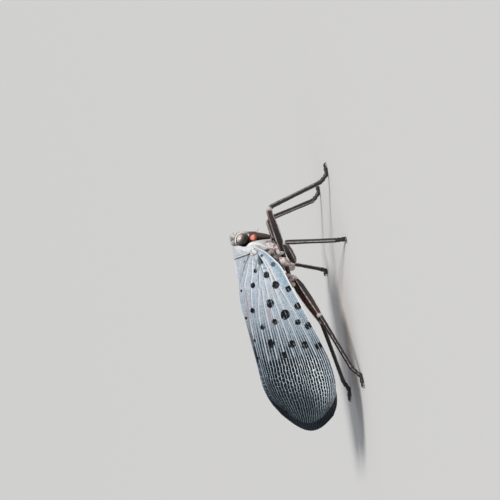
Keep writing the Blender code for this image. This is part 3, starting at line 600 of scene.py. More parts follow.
def collar_rings(rows=90, columns=260):
    """Upright superellipses at stations along the body, drawn in along a quarter circle at both rims."""
    share, turn = np.linspace(0, 1, rows)[:, None], turns(columns)[None]
    c, s = np.cos(turn), np.sin(turn)
    above = c > 0
    length = COLLAR_BACK - COLLAR_FRONT
    rim = np.clip(1 - np.minimum(share, 1 - share) * length / COLLAR_ROUNDING, 0, 1)
    drawn = COLLAR_ROUNDING * (1 - np.sqrt(1 - rim**2))
    half_width = np.interp(share, (0, 1), COLLAR_HALF_WIDTHS)
    half_height = np.interp(share, (0, 1), COLLAR_HALF_HEIGHTS)
    x = (half_width - drawn) * squarish(s, COLLAR_POWER)
    z = (half_height - drawn) * squarish(c, COLLAR_POWER) - half_height
    tent = np.sign(s) * np.minimum(np.abs(x), roof_x(0.0, z) + COLLAR_ROOM)
    x = x + COLLAR_TENT * ease(share, 0.2, 1.0) * above * (tent - x)
    z = z + welt(x, *COLLAR_KEEL) * above
    for_eye, for_wing = (deep * np.exp(-(((z - height) / reach) ** 2))
                         for deep, height, reach in (EYE_NOTCH, WING_NOTCH))
    lobe = COLLAR_LOBE * ease(z, -3.1, -4.1) * ease(z, -5.0, -4.5)
    y = COLLAR_FRONT + for_eye + (length - for_eye - for_wing + lobe) * share

    side = ease(np.abs(s), 0.6, 0.9)
    fold_at = FOLD_START + FOLD_SLANT * (-z - 1.9)
    band = hump(share, fold_at, FOLD_HALF_WIDTH) * side * ease(z, -1.5, -2.1)
    crease = np.maximum(hump(share, fold_at + 0.27, 0.08) * ease(z, -2.2, -3.0),
                        0.8 * hump(share, fold_at + 0.10, 0.05) * ease(z, -3.2, -3.8)) * side
    dent = hump(np.abs(x), *DENT_ACROSS) * hump(share, *DENT_ALONG) * above
    ripple = RIPPLE_HEIGHT * np.sin(38 * share + 3 * np.sin(3 * turn))
    lumps = LUMP_HEIGHT * np.sin(6.1 * z + 2 * share) * np.sin(9 * share + 1.3 * z)
    lift = FOLD_HEIGHT * band - CREASE_DEPTH * crease - DENT_DEPTH * dent
    lift = lift + (ripple + lumps) * (1 - rim)
    lift = lift + welt(share, *REAR_BEAD) + welt(share, *REAR_GROOVE)
    return raised(np.stack([x, y, z], -1), lift), {
        "rim": hump(share, 1.0, 0.05 + 0.10 * ease(z, -2.3, -3.4)), "band": band,
        "groove": np.maximum(0.6 * hump(share, *REAR_GROOVE[:2]), crease),
        "belly": ease(z, -4.5, -5.0), "neck": ease(share, 0.035, 0.005),
    }


MIST, MIST_DUST, MIST_DARK = (0.60, 0.64, 0.67), (0.70, 0.71, 0.70), (0.42, 0.44, 0.47)
MIST_SHADE, FOLD_CREAM, NECK_BROWN = (0.40, 0.43, 0.46), (0.86, 0.84, 0.78), (0.06, 0.035, 0.03)

collar_wax = wax_skin("collar_wax", MIST, MIST_DUST, MIST_DARK)
collar_wax.stain(collar_wax.noise(0.22, 5, shift=0.04), 0.45, 0.62, MIST_SHADE, 0.5)
collar_wax.stain("band", 0.3, 0.9, FOLD_CREAM, 0.9)
collar_wax.stain("groove", 0.2, 0.9, OLIVE, 0.8)
collar_wax.stain("rim", 0.1, 0.7, OLIVE, 0.85)
collar_wax.stain("belly", 0.1, 0.9, UMBER, 0.8)
collar_wax.stain("neck", 0.1, 0.9, NECK_BROWN, 0.95)
rings, values = collar_rings()
skin("collar", place(rings), collar_wax, ["prothorax"], values)

# Thorax: the box of muscle that carries the wings and legs, almost hidden under the folded wings.
# Its plates meet in seams, and grey wax lies in patches on the dark skin.

THORAX_FRONT, THORAX_BACK = -0.25, 4.4
THORAX_TOP, THORAX_BOTTOM = -0.95, -5.6
SIDE_FOOT, SIDE_FOOT_DROP = -3.9, 0.9          # where the sides end in front, and how much lower behind
WING_ROOM = 0.62                   # between the roof and the thorax
PLATE_SEAMS = ((0.48, 0.02), (0.84, 0.015))    # share of the length and half width
BELLY_SEAM = (0.0, 0.12)                       # the same across the body, in millimetres
SEAM_DEPTH, END_DEPTH, END_SHARE = 0.08, 0.25, 0.08
MUSCLE_LUMP = 0.05
THORAX_WAX = (0.46, 0.43, 0.41)


def roof_normal(y, z):
    """(nx, nz), the outward unit normal of the roof's section."""
    slope = 2.0 * roof_half_width(y) / roof_depth(y) * (1.0 - roof_share(y, z))
    length = np.sqrt(1.0 + slope**2)
    return 1.0 / length, slope / length


def thorax_ring(y, side_count=60, belly_count=50):
    """A section that hugs the roof from inside, at the distance of the wing's room, with a round belly."""
    z = np.linspace(THORAX_TOP, SIDE_FOOT - SIDE_FOOT_DROP * ease(y, 0.0, 3.5), side_count)
    nx, nz = roof_normal(y, z)
    side = np.stack([roof_x(y, z) - WING_ROOM * nx, z - WING_ROOM * nz], -1)
    peak = [[0.0, ridge_height(y) - WING_ROOM / roof_normal(y, ridge_height(y))[1]]]
    turn = np.linspace(0, math.pi / 2, belly_count + 1)[1:]
    x_foot, z_foot = side[-1]
    belly = np.stack([x_foot * np.cos(turn) ** 0.8,
                      z_foot + (THORAX_BOTTOM - z_foot) * np.sin(turn)], -1)
    belly[-1, 0] = 0.0
    half = np.vstack([peak, side, belly])
    ring = np.vstack([half, half[-2:0:-1] * [-1, 1]])
    return np.stack([ring[:, 0], np.full(len(ring), y), ring[:, 1]], -1)


def thorax_rings(rows=110):
    """Sections under the roof, drawn in at both ends, with a seam between the plates."""
    rings = np.array([thorax_ring(y) for y in np.linspace(THORAX_FRONT, THORAX_BACK, rows)])
    share = np.linspace(0, 1, rows)[:, None]
    below = ease(rings[..., 2], -2.5, -3.5)
    seam = np.maximum(sum(hump(share, *line) for line in PLATE_SEAMS),
                      hump(rings[..., 0], *BELLY_SEAM) * below)
    lift = -SEAM_DEPTH * seam - END_DEPTH * ease(np.minimum(share, 1 - share), END_SHARE, 0)
    lift = lift + MUSCLE_LUMP * below * np.sin(6 * rings[..., 1]) * np.cos(2.2 * rings[..., 0])
    return raised(rings, lift), {"seam": seam}


thorax_horn = horn("thorax_horn", 0.45)
thorax_horn.stain(thorax_horn.noise(0.8, 5), 0.46, 0.62, THORAX_WAX, 0.75)
thorax_horn.coat("seam", PITCH_BLACK)
rings, values = thorax_rings()
skin("thorax_box", place(rings), thorax_horn, ["thorax"], values)

# Scutellum: the keeled lavender shield of hard waxed skin between the roots of the wings. It is the
# rear of the thorax's back, and it ends in a point where the two wings meet.

RIDGE_EDGE = (
    # (y, z) along the edge that meets the other wing, from the root to the tip
    (-0.18, -1.95), (0.4, -1.58), (1.1, -1.04), (2.1, -0.52), (3.0, -0.02), (3.7, 0.24),
    (5.5, 0.38), (8.5, 0.18), (13.0, -0.12), (15.6, -0.30), (17.6, -0.90), (19.3, -2.0),
)
SHIELD_FRONT, SHIELD_TAPER, SHIELD_TIP = -0.22, 2.5, 3.55
SHIELD_GAP, TIP_HALF_WIDTH = 0.04, 0.03        # from the wing's edge, and at the tip
SHIELD_KEEL, SHIELD_DENT, SHIELD_EDGE_DROP = 0.11, 0.05, 0.07
SHIELD_THICK = 0.35
SHIELD_BLUE, SHIELD_DUST, SHIELD_DARK = (0.38, 0.45, 0.52), (0.50, 0.53, 0.59), (0.28, 0.32, 0.38)
SHIELD_SHADE = (0.30, 0.35, 0.41)


def roof_z(y, x):
    """Height of the roof at a distance x from the ridge."""
    drop = roof_depth(y) * (1.0 - np.sqrt(1.0 - np.clip(x / roof_half_width(y), 0, 1)))
    return ridge_height(y) - drop


def shell(name, outer, inner, finish, nodes, values):
    """A thin closed plate: an outer and an inner face of equal grids, joined around their rim."""
    rows, columns = outer.shape[:2]
    count = rows * columns
    here = np.arange(count).reshape(rows, columns)
    face = np.stack([here[:-1, :-1], here[:-1, 1:], here[1:, 1:], here[1:, :-1]], -1).reshape(-1, 4)
    rim = np.concatenate([here[0, :-1], here[:-1, -1], here[-1, :0:-1], here[:0:-1, 0]])
    after = np.roll(rim, -1)
    border = np.stack([after, rim, rim + count, after + count], -1)
    painted = {}
    for key, numbers in values.items():
        painted[key] = np.tile(np.broadcast_to(numbers, (rows, columns)).ravel(), 2)
    if "inside" in painted:
        painted["inside"][count:] = 1.0
    return make_piece(name, np.vstack([outer.reshape(-1, 3), inner.reshape(-1, 3)]),
                      [face, face[:, ::-1] + count, border], finish, nodes, painted, sharp=60)


def shield_plates(rows=80, columns=121):
    """The roof's own slopes as far out as the wing's edge, with a keel down the middle and one a side."""
    edge = through(RIDGE_EDGE, 240)
    share = np.linspace(0, 1, rows)[:, None]
    y = SHIELD_FRONT + (SHIELD_TIP - SHIELD_FRONT) * share
    edge_z = np.interp(y, edge[:, 0], edge[:, 1])
    half_width = (roof_x(y, edge_z) - SHIELD_GAP) * ease(y, SHIELD_TIP, SHIELD_TAPER)
    half_width = np.maximum(half_width, TIP_HALF_WIDTH)
    across = np.linspace(-1, 1, columns)[None]
    aside = np.abs(across)
    x = half_width * across
    top = roof_z(y, np.abs(x))
    top = top + (edge_z + 0.03 - top) * ease(y, SHIELD_TAPER - 0.9, SHIELD_TIP)
    keel = hump(across, 0.0, 0.12) + 0.8 * hump(aside, 0.52 - 0.25 * share, 0.09)
    keel = keel * ease(share, 0.0, 0.1) * ease(share, 0.80, 0.45)
    dent = hump(aside, 0.25, 0.22) * hump(share, 0.4, 0.5)
    outer = np.stack([x, y + 0 * x, top], -1)
    inner = outer - [0.0, 0.0, SHIELD_THICK]
    outer[..., 2] += (SHIELD_KEEL * keel - SHIELD_DENT * dent
                      - SHIELD_EDGE_DROP * ease(aside, 0.93, 1.0))
    mark = hump(aside, 0.78, 0.14) * hump(share, 0.22, 0.08)
    return outer, inner, {"keel": keel, "edge": ease(aside, 0.80, 0.97) * ease(share, 0.95, 0.7),
                          "mark": np.maximum(mark, hump(share, 0.0, 0.06))}


shield_wax = wax_skin("scutellum_wax", SHIELD_BLUE, SHIELD_DUST, SHIELD_DARK)
shield_wax.stain(shield_wax.noise(0.2, 5, shift=0.05), 0.45, 0.62, SHIELD_SHADE, 0.45)
shield_wax.stain("keel", 0.3, 1.0, WAX_WHITE, 0.6)
shield_wax.stain("edge", 0.3, 0.9, OLIVE, 0.85)
shield_wax.stain("mark", 0.2, 0.8, UMBER, 0.8)
outer, inner, values = shield_plates()
shell("scutellum_plate", place(outer), place(inner), shield_wax, ["scutellum"], values)

# Tegulae: a folded, wax-white scale of soft skin over the root of each forewing. It is hinged to the
# side of the thorax, between the collar and the scutellum, and shields the wing's joint.

TEGULA_PLACE = (-0.24, -2.36)      # (y, z) of its middle on the roof
TEGULA_HALF_LENGTH, TEGULA_HALF_HEIGHT = 0.46, 0.54
TEGULA_SEAT, TEGULA_RISE, TEGULA_FOLD = 0.07, 0.16, 0.09
TEGULA_WHITE, TEGULA_DUST = (0.60, 0.64, 0.66), (0.76, 0.76, 0.74)

tegula_wax = wax_skin("tegula_wax", TEGULA_WHITE, TEGULA_DUST, OLIVE)
tegula_wax.stain("fold", 0.3, 1.0, OLIVE, 0.7)


def tegula_rings():
    """A flattened ball on the roof's slope, three-cornered seen from the side, with a fold across it."""
    ball = ball_rings(60, 96)
    fold = hump(np.sin(5.0 * ball[..., 2] - 2.2 * ball[..., 1] + 0.8), -0.9, 0.6) * (ball[..., 0] > 0)
    corner = 1 + 0.16 * np.sin(3 * np.arctan2(ball[..., 1:2], ball[..., 2:]) + 0.7)
    y, z = TEGULA_PLACE
    nx, nz = roof_normal(y, z)
    out, back, down = np.array([[nx, 0.0, nz], [0.0, 1.0, 0.0], [nz, 0.0, -nx]])
    rise = TEGULA_SEAT + TEGULA_RISE * ball[..., 0] - TEGULA_FOLD * fold
    scale = (np.array([roof_x(y, z), y, z]) + rise[..., None] * out
             + TEGULA_HALF_LENGTH * corner * ball[..., 1:2] * back
             + TEGULA_HALF_HEIGHT * corner * ball[..., 2:] * down)
    rim = hump(np.hypot(ball[..., 1], ball[..., 2]), 1.0, 0.08)
    return scale, {"fold": np.maximum(fold, 0.8 * rim)}


rings, values = tegula_rings()
for side, word in SIDES:
    skin(f"tegula_scale_{word}", place(rings, side), tegula_wax, [f"tegula_{word}"], values)

# Abdomen: overlapping plates of thin skin, yellow under grey wax, each with a black band at its front
# edge. It is joined to the rear of the thorax and ends in small reddish flaps.

ABDOMEN_FRONT, ABDOMEN_BACK = 4.3, 13.8
ABDOMEN_HALF_WIDTH, ABDOMEN_HALF_HEIGHT = 2.25, 1.95
ABDOMEN_MIDDLE, ABDOMEN_CLIMB = -4.35, 0.35    # height of its middle in front, and how far it rises
ABDOMEN_POWER = 2 / 2.2
PLATES, ROWS_PER_PLATE = 8, 16
PLATE_SIZE, PLATE_SWELL, PLATE_TUCK = 0.93, 0.08, 0.04     # at its front edge, behind it, at its rear
TAPER_POWERS, LEAST_SIZE = (2.8, 0.72), 0.05   # of the share and of what it leaves, and at the tail
ABDOMEN_INSET = 1.35
PLATE_PLEAT, TAIL_SLIT = 0.02, 0.12
YELLOW, BUFF, ASH = (0.72, 0.46, 0.06), (0.80, 0.58, 0.16), (0.62, 0.60, 0.55)
BAND_BLACK, FLAP_DARK, FLAP_RED = (0.02, 0.018, 0.02), (0.16, 0.03, 0.022), (0.30, 0.07, 0.045)


def abdomen_rings():
    """Ovals under the roof of the wings; each plate swells backwards and steps in under the next."""
    count = PLATES * ROWS_PER_PLATE
    share = (np.arange(count + 1) / count)[:, None]
    within = (np.arange(count + 1) % ROWS_PER_PLATE / ROWS_PER_PLATE)[:, None]
    swell = PLATE_SIZE + PLATE_SWELL * ease(within, 0.0, 0.75) - PLATE_TUCK * ease(within, 0.86, 1.0)
    inner, outer = TAPER_POWERS
    size = np.maximum(swell * (1.0 - share**inner) ** outer, LEAST_SIZE)
    turn = turns(180)[None]
    c, s = np.cos(turn), np.sin(turn)
    y = ABDOMEN_FRONT + share * (ABDOMEN_BACK - ABDOMEN_FRONT) + 0 * turn
    x = ABDOMEN_HALF_WIDTH * size * squarish(s, ABDOMEN_POWER)
    z = (ABDOMEN_MIDDLE + ABDOMEN_CLIMB * share
         + ABDOMEN_HALF_HEIGHT * size * squarish(c, ABDOMEN_POWER))
    limit = np.maximum(roof_x(y, z) - ABDOMEN_INSET / roof_normal(y, z)[0], 0.12)
    x = limit * np.tanh(x / limit)
    pleat = PLATE_PLEAT * np.cos(3 * turn) * np.sin(2 * math.pi * within) * ease(share, 0.9, 0.85)
    slit = hump(s, 0.0, 0.10) * ease(share, 0.90, 0.94)
    rings = raised(np.stack([x, y, z], -1), pleat - TAIL_SLIT * slit)
    return rings, {"within": within, "tail": ease(share, 0.915, 0.935)}


belly_skin = Finish("abdomen_skin", YELLOW, Roughness=0.45, Specular_IOR_Level=0.45, Coat_Weight=0.1,
                    Coat_Roughness=0.3)
belly_skin.stain(belly_skin.noise(0.8, 4), 0.35, 0.65, BUFF)
belly_skin.stain(belly_skin.ragged("within", 0.2, 0.4), 0.40, 0.52, BAND_BLACK, 0.0, 0.95)
belly_skin.stain(belly_skin.noise(0.35, 5), 0.54, 0.66, ASH, 0.55)
flaps = belly_skin.mix(belly_skin.spread(belly_skin.noise(0.3, 4), 0.4, 0.6), FLAP_DARK, FLAP_RED)
belly_skin.coat("tail", flaps)
belly_skin.relief(belly_skin.noise(0.1, 4), 0.015)
rings, values = abdomen_rings()
skin("abdomen_plates", place(rings), belly_skin, ["abdomen"], values)

# Hind wings: thin skins, pleated and folded inside the forewings, and hinged behind them. They are
# scarlet with black spots at the root, then white, and black towards the tip.

HIND_RIDGE_EDGE = ((4.3, -1.9), (9.0, -1.7), (14.0, -1.9), (17.2, -3.2))
HIND_FRONT_EDGE = ((4.3, -4.6), (8.0, -6.3), (13.0, -7.6), (16.8, -7.0))
HIND_TIP_BULGE = 1.2
HIND_INSET, HIND_SKIN = 0.95, 0.10
PLEATS, PLEAT_DEPTH = 13, 0.08
HIND_SPOTS = ((6.2, -3.0, 0.4), (6.9, -4.6, 0.45), (8.3, -3.7, 0.42), (8.9, -5.5, 0.4),
              (10.2, -4.4, 0.4), (7.8, -2.6, 0.3))     # (y, z, radius)
WHITE_START, BLACK_START = (11.6, 12.0), (13.5, 14.0)  # y at which each colour begins and is full
HIND_RED, HIND_SCARLET, HIND_WHITE = (0.55, 0.035, 0.025), (0.68, 0.08, 0.045), (0.72, 0.71, 0.68)
HIND_BLACK, HIND_SPOT, PLEAT_BROWN = (0.018, 0.018, 0.022), (0.015, 0.012, 0.014), (0.12, 0.03, 0.025)
FAR_OFF = 9.0                      # a distance from marks that is beyond them all


def between_edges(ridge_edge, front_edge, along, across, bulge):
    """(y, z) of a grid between two edges, bulged backwards by bulge * along^4 * sin(pi * across)."""
    ridge, front = (through(edge, 240) for edge in (ridge_edge, front_edge))
    even = np.linspace(0, 1, 240)
    ridge, front = (at_runs(line, even, along)[:, None] for line in (ridge, front))
    y, z = np.moveaxis(ridge + (front - ridge) * across[..., None], -1, 0)
    return y + bulge * (along**4)[:, None] * np.sin(math.pi * across), z


def hind_wing(rows=130, columns=183):
    """A plate inside the roof, with pleats across it that widen towards the tip."""
    along, across = np.linspace(0, 1, rows), np.linspace(0, 1, columns)
    y, z = between_edges(HIND_RIDGE_EDGE, HIND_FRONT_EDGE, along, across, HIND_TIP_BULGE)
    nx, nz = roof_normal(y, z)
    pleat = 0.5 + 0.5 * np.cos(2 * math.pi * PLEATS * across)
    folded = (ease(along, 0.0, 0.25) * (1 - 0.8 * ease(along, 0.86, 1.0)))[:, None]
    inset = HIND_INSET + PLEAT_DEPTH * pleat * folded
    outer = np.stack([roof_x(y, z) - inset * nx, y, z - inset * nz], -1)
    inner = outer - HIND_SKIN * np.stack([nx, 0 * nx, nz], -1)
    spot = np.full(y.shape, FAR_OFF)
    for spot_y, spot_z, radius in HIND_SPOTS:
        spot = np.minimum(spot, np.hypot(y - spot_y, z - spot_z) - radius)
    return outer, inner, {"y": y, "pleat": pleat, "spot": spot}


hind_skin = Finish("hindwing_membrane", HIND_RED, Roughness=0.4, Specular_IOR_Level=0.4)
hind_skin.stain(hind_skin.noise(0.5, 4), 0.35, 0.7, HIND_SCARLET)
wavy = hind_skin.ragged("y", 1.0, 1.2)
hind_skin.stain(wavy, *WHITE_START, HIND_WHITE)
hind_skin.stain(wavy, *BLACK_START, HIND_BLACK)
hind_skin.stain("spot", -0.05, 0.08, HIND_SPOT, 0.0, 1.0)
hind_skin.stain("pleat", 0.86, 0.97, PLEAT_BROWN, 0.5)
hind_skin.relief(hind_skin.noise(0.15, 4), 0.01)
outer, inner, values = hind_wing()
for side, word in SIDES:
    shell(f"hindwing_skin_{word}", place(outer, side), place(inner, side), hind_skin,
          [f"hindwing_{word}"], values)

# Forewings: two leathery plates, folded like a roof over the back. Branching veins stand up on them
# and end in a close net near the tip, and black spots lie on the cells between the veins.

FRONT_EDGE = (
    # (y, z) along the leading edge, which is the lower one in the folded wing
    (-0.68, -2.72), (-0.25, -3.30), (0.21, -3.78), (0.75, -4.18), (1.5, -4.70), (2.6, -5.3),
    (5.0, -5.95), (8.2, -6.85), (11.5, -7.8), (14.5, -8.58), (17.2, -8.87), (19.1, -8.55),
    (20.4, -7.75),
)
TIP_BULGE = 1.9
RIDGE_HALF_GAP = 0.02
LEFT_WING_BACK = 0.49              # the left wing lies a little further back and down at its tip
LEFT_WING_DROP = 0.6
VEIN_STATIONS = (0.0, 0.2, 0.4, 0.6, 0.8, 1.0)
VEINS = (
    # the lane between fine veins that each main vein runs in, where it begins and ends along the
    # wing, and its share across the wing at each station
    (1, 0.00, 0.50, (0.16, 0.13, 0.08, 0.05, 0.05, 0.05)),
    (3, 0.00, 0.34, (0.33, 0.28, 0.16, 0.11, 0.10, 0.09)),
    (5, 0.00, 1.20, (0.48, 0.455, 0.26, 0.19, 0.16, 0.15)),
    (8, 0.20, 1.20, (0.54, 0.50, 0.38, 0.32, 0.28, 0.27)),
    (11, 0.02, 1.20, (0.60, 0.57, 0.49, 0.44, 0.41, 0.39)),
    (14, 0.26, 1.20, (0.65, 0.63, 0.59, 0.56, 0.53, 0.51)),
    (18, 0.00, 1.20, (0.70, 0.69, 0.69, 0.68, 0.66, 0.64)),
    (23, 0.00, 1.20, (0.76, 0.76, 0.83, 0.85, 0.85, 0.84)),
)
VEIN_FADE = 0.08                   # share of the wing's length over which a main vein begins or ends
LANE_COUNT, COLUMNS_PER_LANE, WING_ROWS = 28, 6, 250
WING_SKIN = 0.12                   # thickness of the plate
MAIN_VEIN, FRONT_BEAD = (0.0, 0.12, 0.065), (0.0, 0.24, 0.07)  # middle, half width and height
FINE_VEIN = 0.035                  # height of the fine veins of the net
SPOT_SWELL = 0.015
NET_START, NET_SLANT = 13.15, 0.75 # y of the net's border at the ridge, and how much later it is below
LONG_CELL, NET_SHORTER, FRONT_SHORTER = 0.86, 0.38, 0.22   # of a cell's length along the wing
SPOTS = (
    # (y, z, radius) of each black spot
    (2.12, -2.07, 0.26), (2.99, -3.29, 0.39), (3.78, -1.48, 0.35), (4.47, -4.12, 0.45),
    (5.27, -5.56, 0.39), (6.52, -3.06, 0.52), (6.73, -0.84, 0.35), (7.63, -6.24, 0.43),
    (8.28, -4.55, 0.61), (8.82, -3.17, 0.39), (9.01, -1.61, 0.32), (9.57, -5.85, 0.35),
    (10.24, -6.99, 0.44), (7.37, 0.05, 0.17), (3.95, 0.01, 0.15), (11.23, -2.26, 0.52),
    (10.33, -0.42, 0.15), (11.97, -4.63, 0.49), (12.44, -6.14, 0.45), (12.91, -7.71, 0.42),
    (13.04, -3.43, 0.45), (12.65, -1.09, 0.17), (12.57, -0.42, 0.15),
)
FAINT_SPOTS = ((1.91, -4.31, 0.30), (0.51, -3.2, 0.2))
RING_SPOT = (2.37, -3.22, 0.30)
# Marks along lines of (y, z)
STAIN = ((7.1, -2.64), (9.2, -2.78))
ROOT_SLIT, SLIT_WIDENING = ((0.16, -2.74), (1.34, -3.10)), 0.10
ROOT_WEDGE, WEDGE_WIDENING = ((0.48, -2.76), (1.24, -2.86)), 0.36
# Two dark lines by the root; the second is a painted shadow beside a main vein.
DARK_THREADS = (((0.77, -2.60), (1.65, -2.23), (1.89, -2.11)),
                ((1.43, -2.68), (2.25, -2.50), (3.22, -2.27), (4.32, -2.18)))
BROWN_LINE = ((2.3, -0.62), (3.2, -0.47), (4.5, -0.40), (7.5, -0.26), (11.4, 0.03))
VEIN_SHADOW_OFFSET = 0.17                  # from the middle of a main vein to the painted shadow beside it


def vein_shares(along):
    """Share across the wing of the ridge edge, each main vein and the front edge, row by row."""
    lines = [np.zeros_like(along)]
    for *_, shares in VEINS:
        line = through(list(zip(VEIN_STATIONS, shares)), 60)
        lines.append(np.interp(along, line[:, 0], line[:, 1]))
    return np.stack([*lines, np.ones_like(along)], -1)


def lane_weights(lane):
    """How much each edge and main vein counts at a lane, which lies between two of them."""
    known = np.array([0, *(vein[0] for vein in VEINS), LANE_COUNT], float)
    return np.maximum(np.stack([np.interp(lane, known, row) for row in np.eye(len(known))]), 0.0)


def wing_grid(side):
    """The wing's outer face: rows from root to tip, and columns along the lanes of the net."""
    along = np.linspace(0, 1, WING_ROWS)
    lane = np.linspace(0, LANE_COUNT, LANE_COUNT * COLUMNS_PER_LANE + 1)
    across = vein_shares(along) @ lane_weights(lane)
    y, z = between_edges(RIDGE_EDGE, FRONT_EDGE, along, across, TIP_BULGE)
    settled = np.stack([roof_x(y, z), y, z], -1)
    if side > 0:
        y = y + LEFT_WING_BACK * (along**2)[:, None]
        z = z - LEFT_WING_DROP * (along**2)[:, None] * across
    x = roof_x(y, z)
    # Between the scutellum's tip and the wing tips the ridge edges turn level and meet.
    meeting = ease(y[:, :1], SHIELD_TAPER, SHIELD_TIP) * ease(y[:, :1], 16.5, 14.5)
    x = x - meeting * (x[:, :1] - RIDGE_HALF_GAP) * ease(across, 0.09, 0.0)
    outer = np.stack([np.maximum(x, RIDGE_HALF_GAP), y, z], -1)
    return along, lane, across, settled, outer


def near_points(where, spots):
    """Distance in millimetres from the nearest spot's edge, which is negative inside it."""
    far = np.full(where.shape[:2], FAR_OFF)
    for y, z, radius in spots:
        far = np.minimum(far, length_of(where - [roof_x(y, z), y, z]) - radius)
    return far


def near_line(where, stops, widening=0.0):
    """Distance in millimetres from the line through some stops, less an amount that grows along it."""
    far = np.full(where.shape[:2], FAR_OFF)
    stops = [np.array([roof_x(y, z), y, z]) for y, z in stops]
    for a, b in zip(stops, stops[1:]):
        share = np.clip(((where - a) @ (b - a)) / ((b - a) @ (b - a)), 0, 1)
        far = np.minimum(far, length_of(where - a - share[..., None] * (b - a)) - widening * share)
    return far


def wing_values(along, lane, across, settled, outer):
    """What the wing's finish reads at each point, in lanes, in cells or in millimetres."""
    lane_mm = length_of(np.gradient(outer, lane, axis=1))
    step = length_of(np.diff(outer, axis=0))
    zone = settled[..., 1] - NET_START - NET_SLANT * across
    cell_mm = (LONG_CELL - NET_SHORTER * ease(zone, 0.0, 4.0)
               - FRONT_SHORTER * ease(across, 0.60, 0.78) * ease(zone, 6.0, 0.0))
    middle = (np.arange(len(lane)) // COLUMNS_PER_LANE) * COLUMNS_PER_LANE + COLUMNS_PER_LANE // 2
    cells = np.vstack([np.zeros((1, len(lane))), np.cumsum(step / cell_mm[1:], axis=0)])
    main_mm = vein_shadow_mm = np.full(outer.shape[:2], FAR_OFF)
    for home, begin, end, _ in VEINS:
        there = ease(along, begin, begin + VEIN_FADE) * ease(along, end + VEIN_FADE, end)
        missing = 0.3 * (1 - there)[:, None]
        main_mm = np.minimum(main_mm, np.abs(lane - home) * lane_mm + missing)
        vein_shadow_mm = np.minimum(vein_shadow_mm, np.abs((home - lane) * lane_mm - VEIN_SHADOW_OFFSET) + missing)
    return {
        "lane": lane, "lane_mm": lane_mm, "cells": cells[:, np.minimum(middle, len(lane) - 1)],
        "cell_mm": cell_mm, "zone": zone, "main_mm": main_mm, "vein_shadow_mm": vein_shadow_mm,
        "front_mm": (LANE_COUNT - lane) * lane_mm, "ridge_mm": lane * lane_mm,
        "spot_mm": near_points(settled, SPOTS), "faint_mm": near_points(settled, FAINT_SPOTS),
        "stain_mm": near_line(settled, STAIN), "ring_mm": np.abs(near_points(settled, [RING_SPOT])),
        "thread_mm": np.minimum(*(near_line(settled, line) for line in DARK_THREADS)),
        "brown_mm": near_line(settled, through(BROWN_LINE, 30)),
        "slit_mm": near_line(settled, ROOT_SLIT, SLIT_WIDENING),
        "wedge_mm": near_line(settled, ROOT_WEDGE, WEDGE_WIDENING),
        "along": along[:, None], "across": across, "inside": 0.0,
    }


def wing_relief(values):
    """How far the surface stands up, in millimetres: main veins, fine veins and the front bead."""
    main = welt(values["main_mm"], *MAIN_VEIN) * (1 - 0.5 * values["along"])
    crest = 0.5 + 0.5 * np.cos(2 * math.pi * values["lane"])
    fine = FINE_VEIN * crest * ease(values["along"], 0.1, 0.6)
    edge = welt(values["front_mm"], *FRONT_BEAD) * (1 - 0.6 * values["along"])
    swell = SPOT_SWELL * np.sin(math.pi * ease(values["spot_mm"], -0.4, 0.25))
    return np.maximum(np.maximum(main, fine), edge) + swell


SKIN_BLUE, SKIN_LILAC, FRONT_BLUE = (0.38, 0.47, 0.55), (0.48, 0.50, 0.56), (0.23, 0.36, 0.48)
DUSK_BLUE, FLECK_DARK, FLECK_PALE = (0.085, 0.12, 0.16), (0.20, 0.26, 0.32), (0.64, 0.68, 0.72)
VEIN_WHITE, VEIN_GREY, VEIN_SHADOW = (0.72, 0.76, 0.78), (0.50, 0.58, 0.63), (0.16, 0.16, 0.14)
NET_RIDGE, NET_WHITE, NET_DARK = (0.46, 0.55, 0.61), (0.72, 0.80, 0.85), (0.19, 0.25, 0.28)
HAZE_PALE, HAZE_DARK = (0.24, 0.29, 0.36), (0.04, 0.05, 0.065)
NIGHT_BLUE, SPOT_BLACK, SPOT_SPLIT = (0.004, 0.008, 0.012), (0.005, 0.006, 0.008), (0.50, 0.56, 0.60)
FAINT_BLUE, STAIN_PINK, WEDGE_BLUE = (0.045, 0.07, 0.10), (0.34, 0.20, 0.20), (0.045, 0.070, 0.090)
THREAD_GREY, RING_BLUE = (0.10, 0.13, 0.14), (0.05, 0.07, 0.09)
LINE_BROWN, EDGE_WHITE, UNDERSIDE_SHADE_BLUE = (0.30, 0.19, 0.16), (0.80, 0.82, 0.82), (0.025, 0.03, 0.045)

wing = Finish("forewing_membrane", SKIN_BLUE, Specular_IOR_Level=0.12)
# Where a point lies: in which lane, how far from its veins, and how far past the net's border.
sway = wing.times(wing.spread("zone", -0.5, 2.0), wing.stray(0.9, 0.7, 2, shift=0.07))
lane = wing.plus("lane", sway)
lane_number = wing.math("FLOOR", lane)
dice = wing.add("ShaderNodeTexWhiteNoise", {"W": lane_number}, noise_dimensions="1D").outputs["Value"]
zone = wing.plus("zone", wing.times(wing.minus(dice, 0.5), 0.7))
from_vein = wing.times(wing.math("PINGPONG", lane, 0.5), "lane_mm")
cell_at = wing.plus(wing.plus("cells", wing.stray(0.9, 0.45, 1)), dice)
# Every other lane has its cross veins half a cell later, as bricks are laid.
cell_at = wing.plus(cell_at, wing.times(wing.math("MODULO", lane_number, 2.0), 0.5))
from_cross = wing.times(wing.math("PINGPONG", cell_at, 0.5), "cell_mm")
in_net = wing.spread(zone, -0.12, 0.12)
before_net = wing.spread(zone, -6.5, -1.2)
# This number is 0 at the net's border and 1 at the tip, and rises sooner near the ridge: there the net
# darkens, partly in its own colour and partly with painted shade.
tip_dark_and_shade = wing.spread(wing.minus(zone, wing.times("across", 4.6)), -0.8, 4.4)
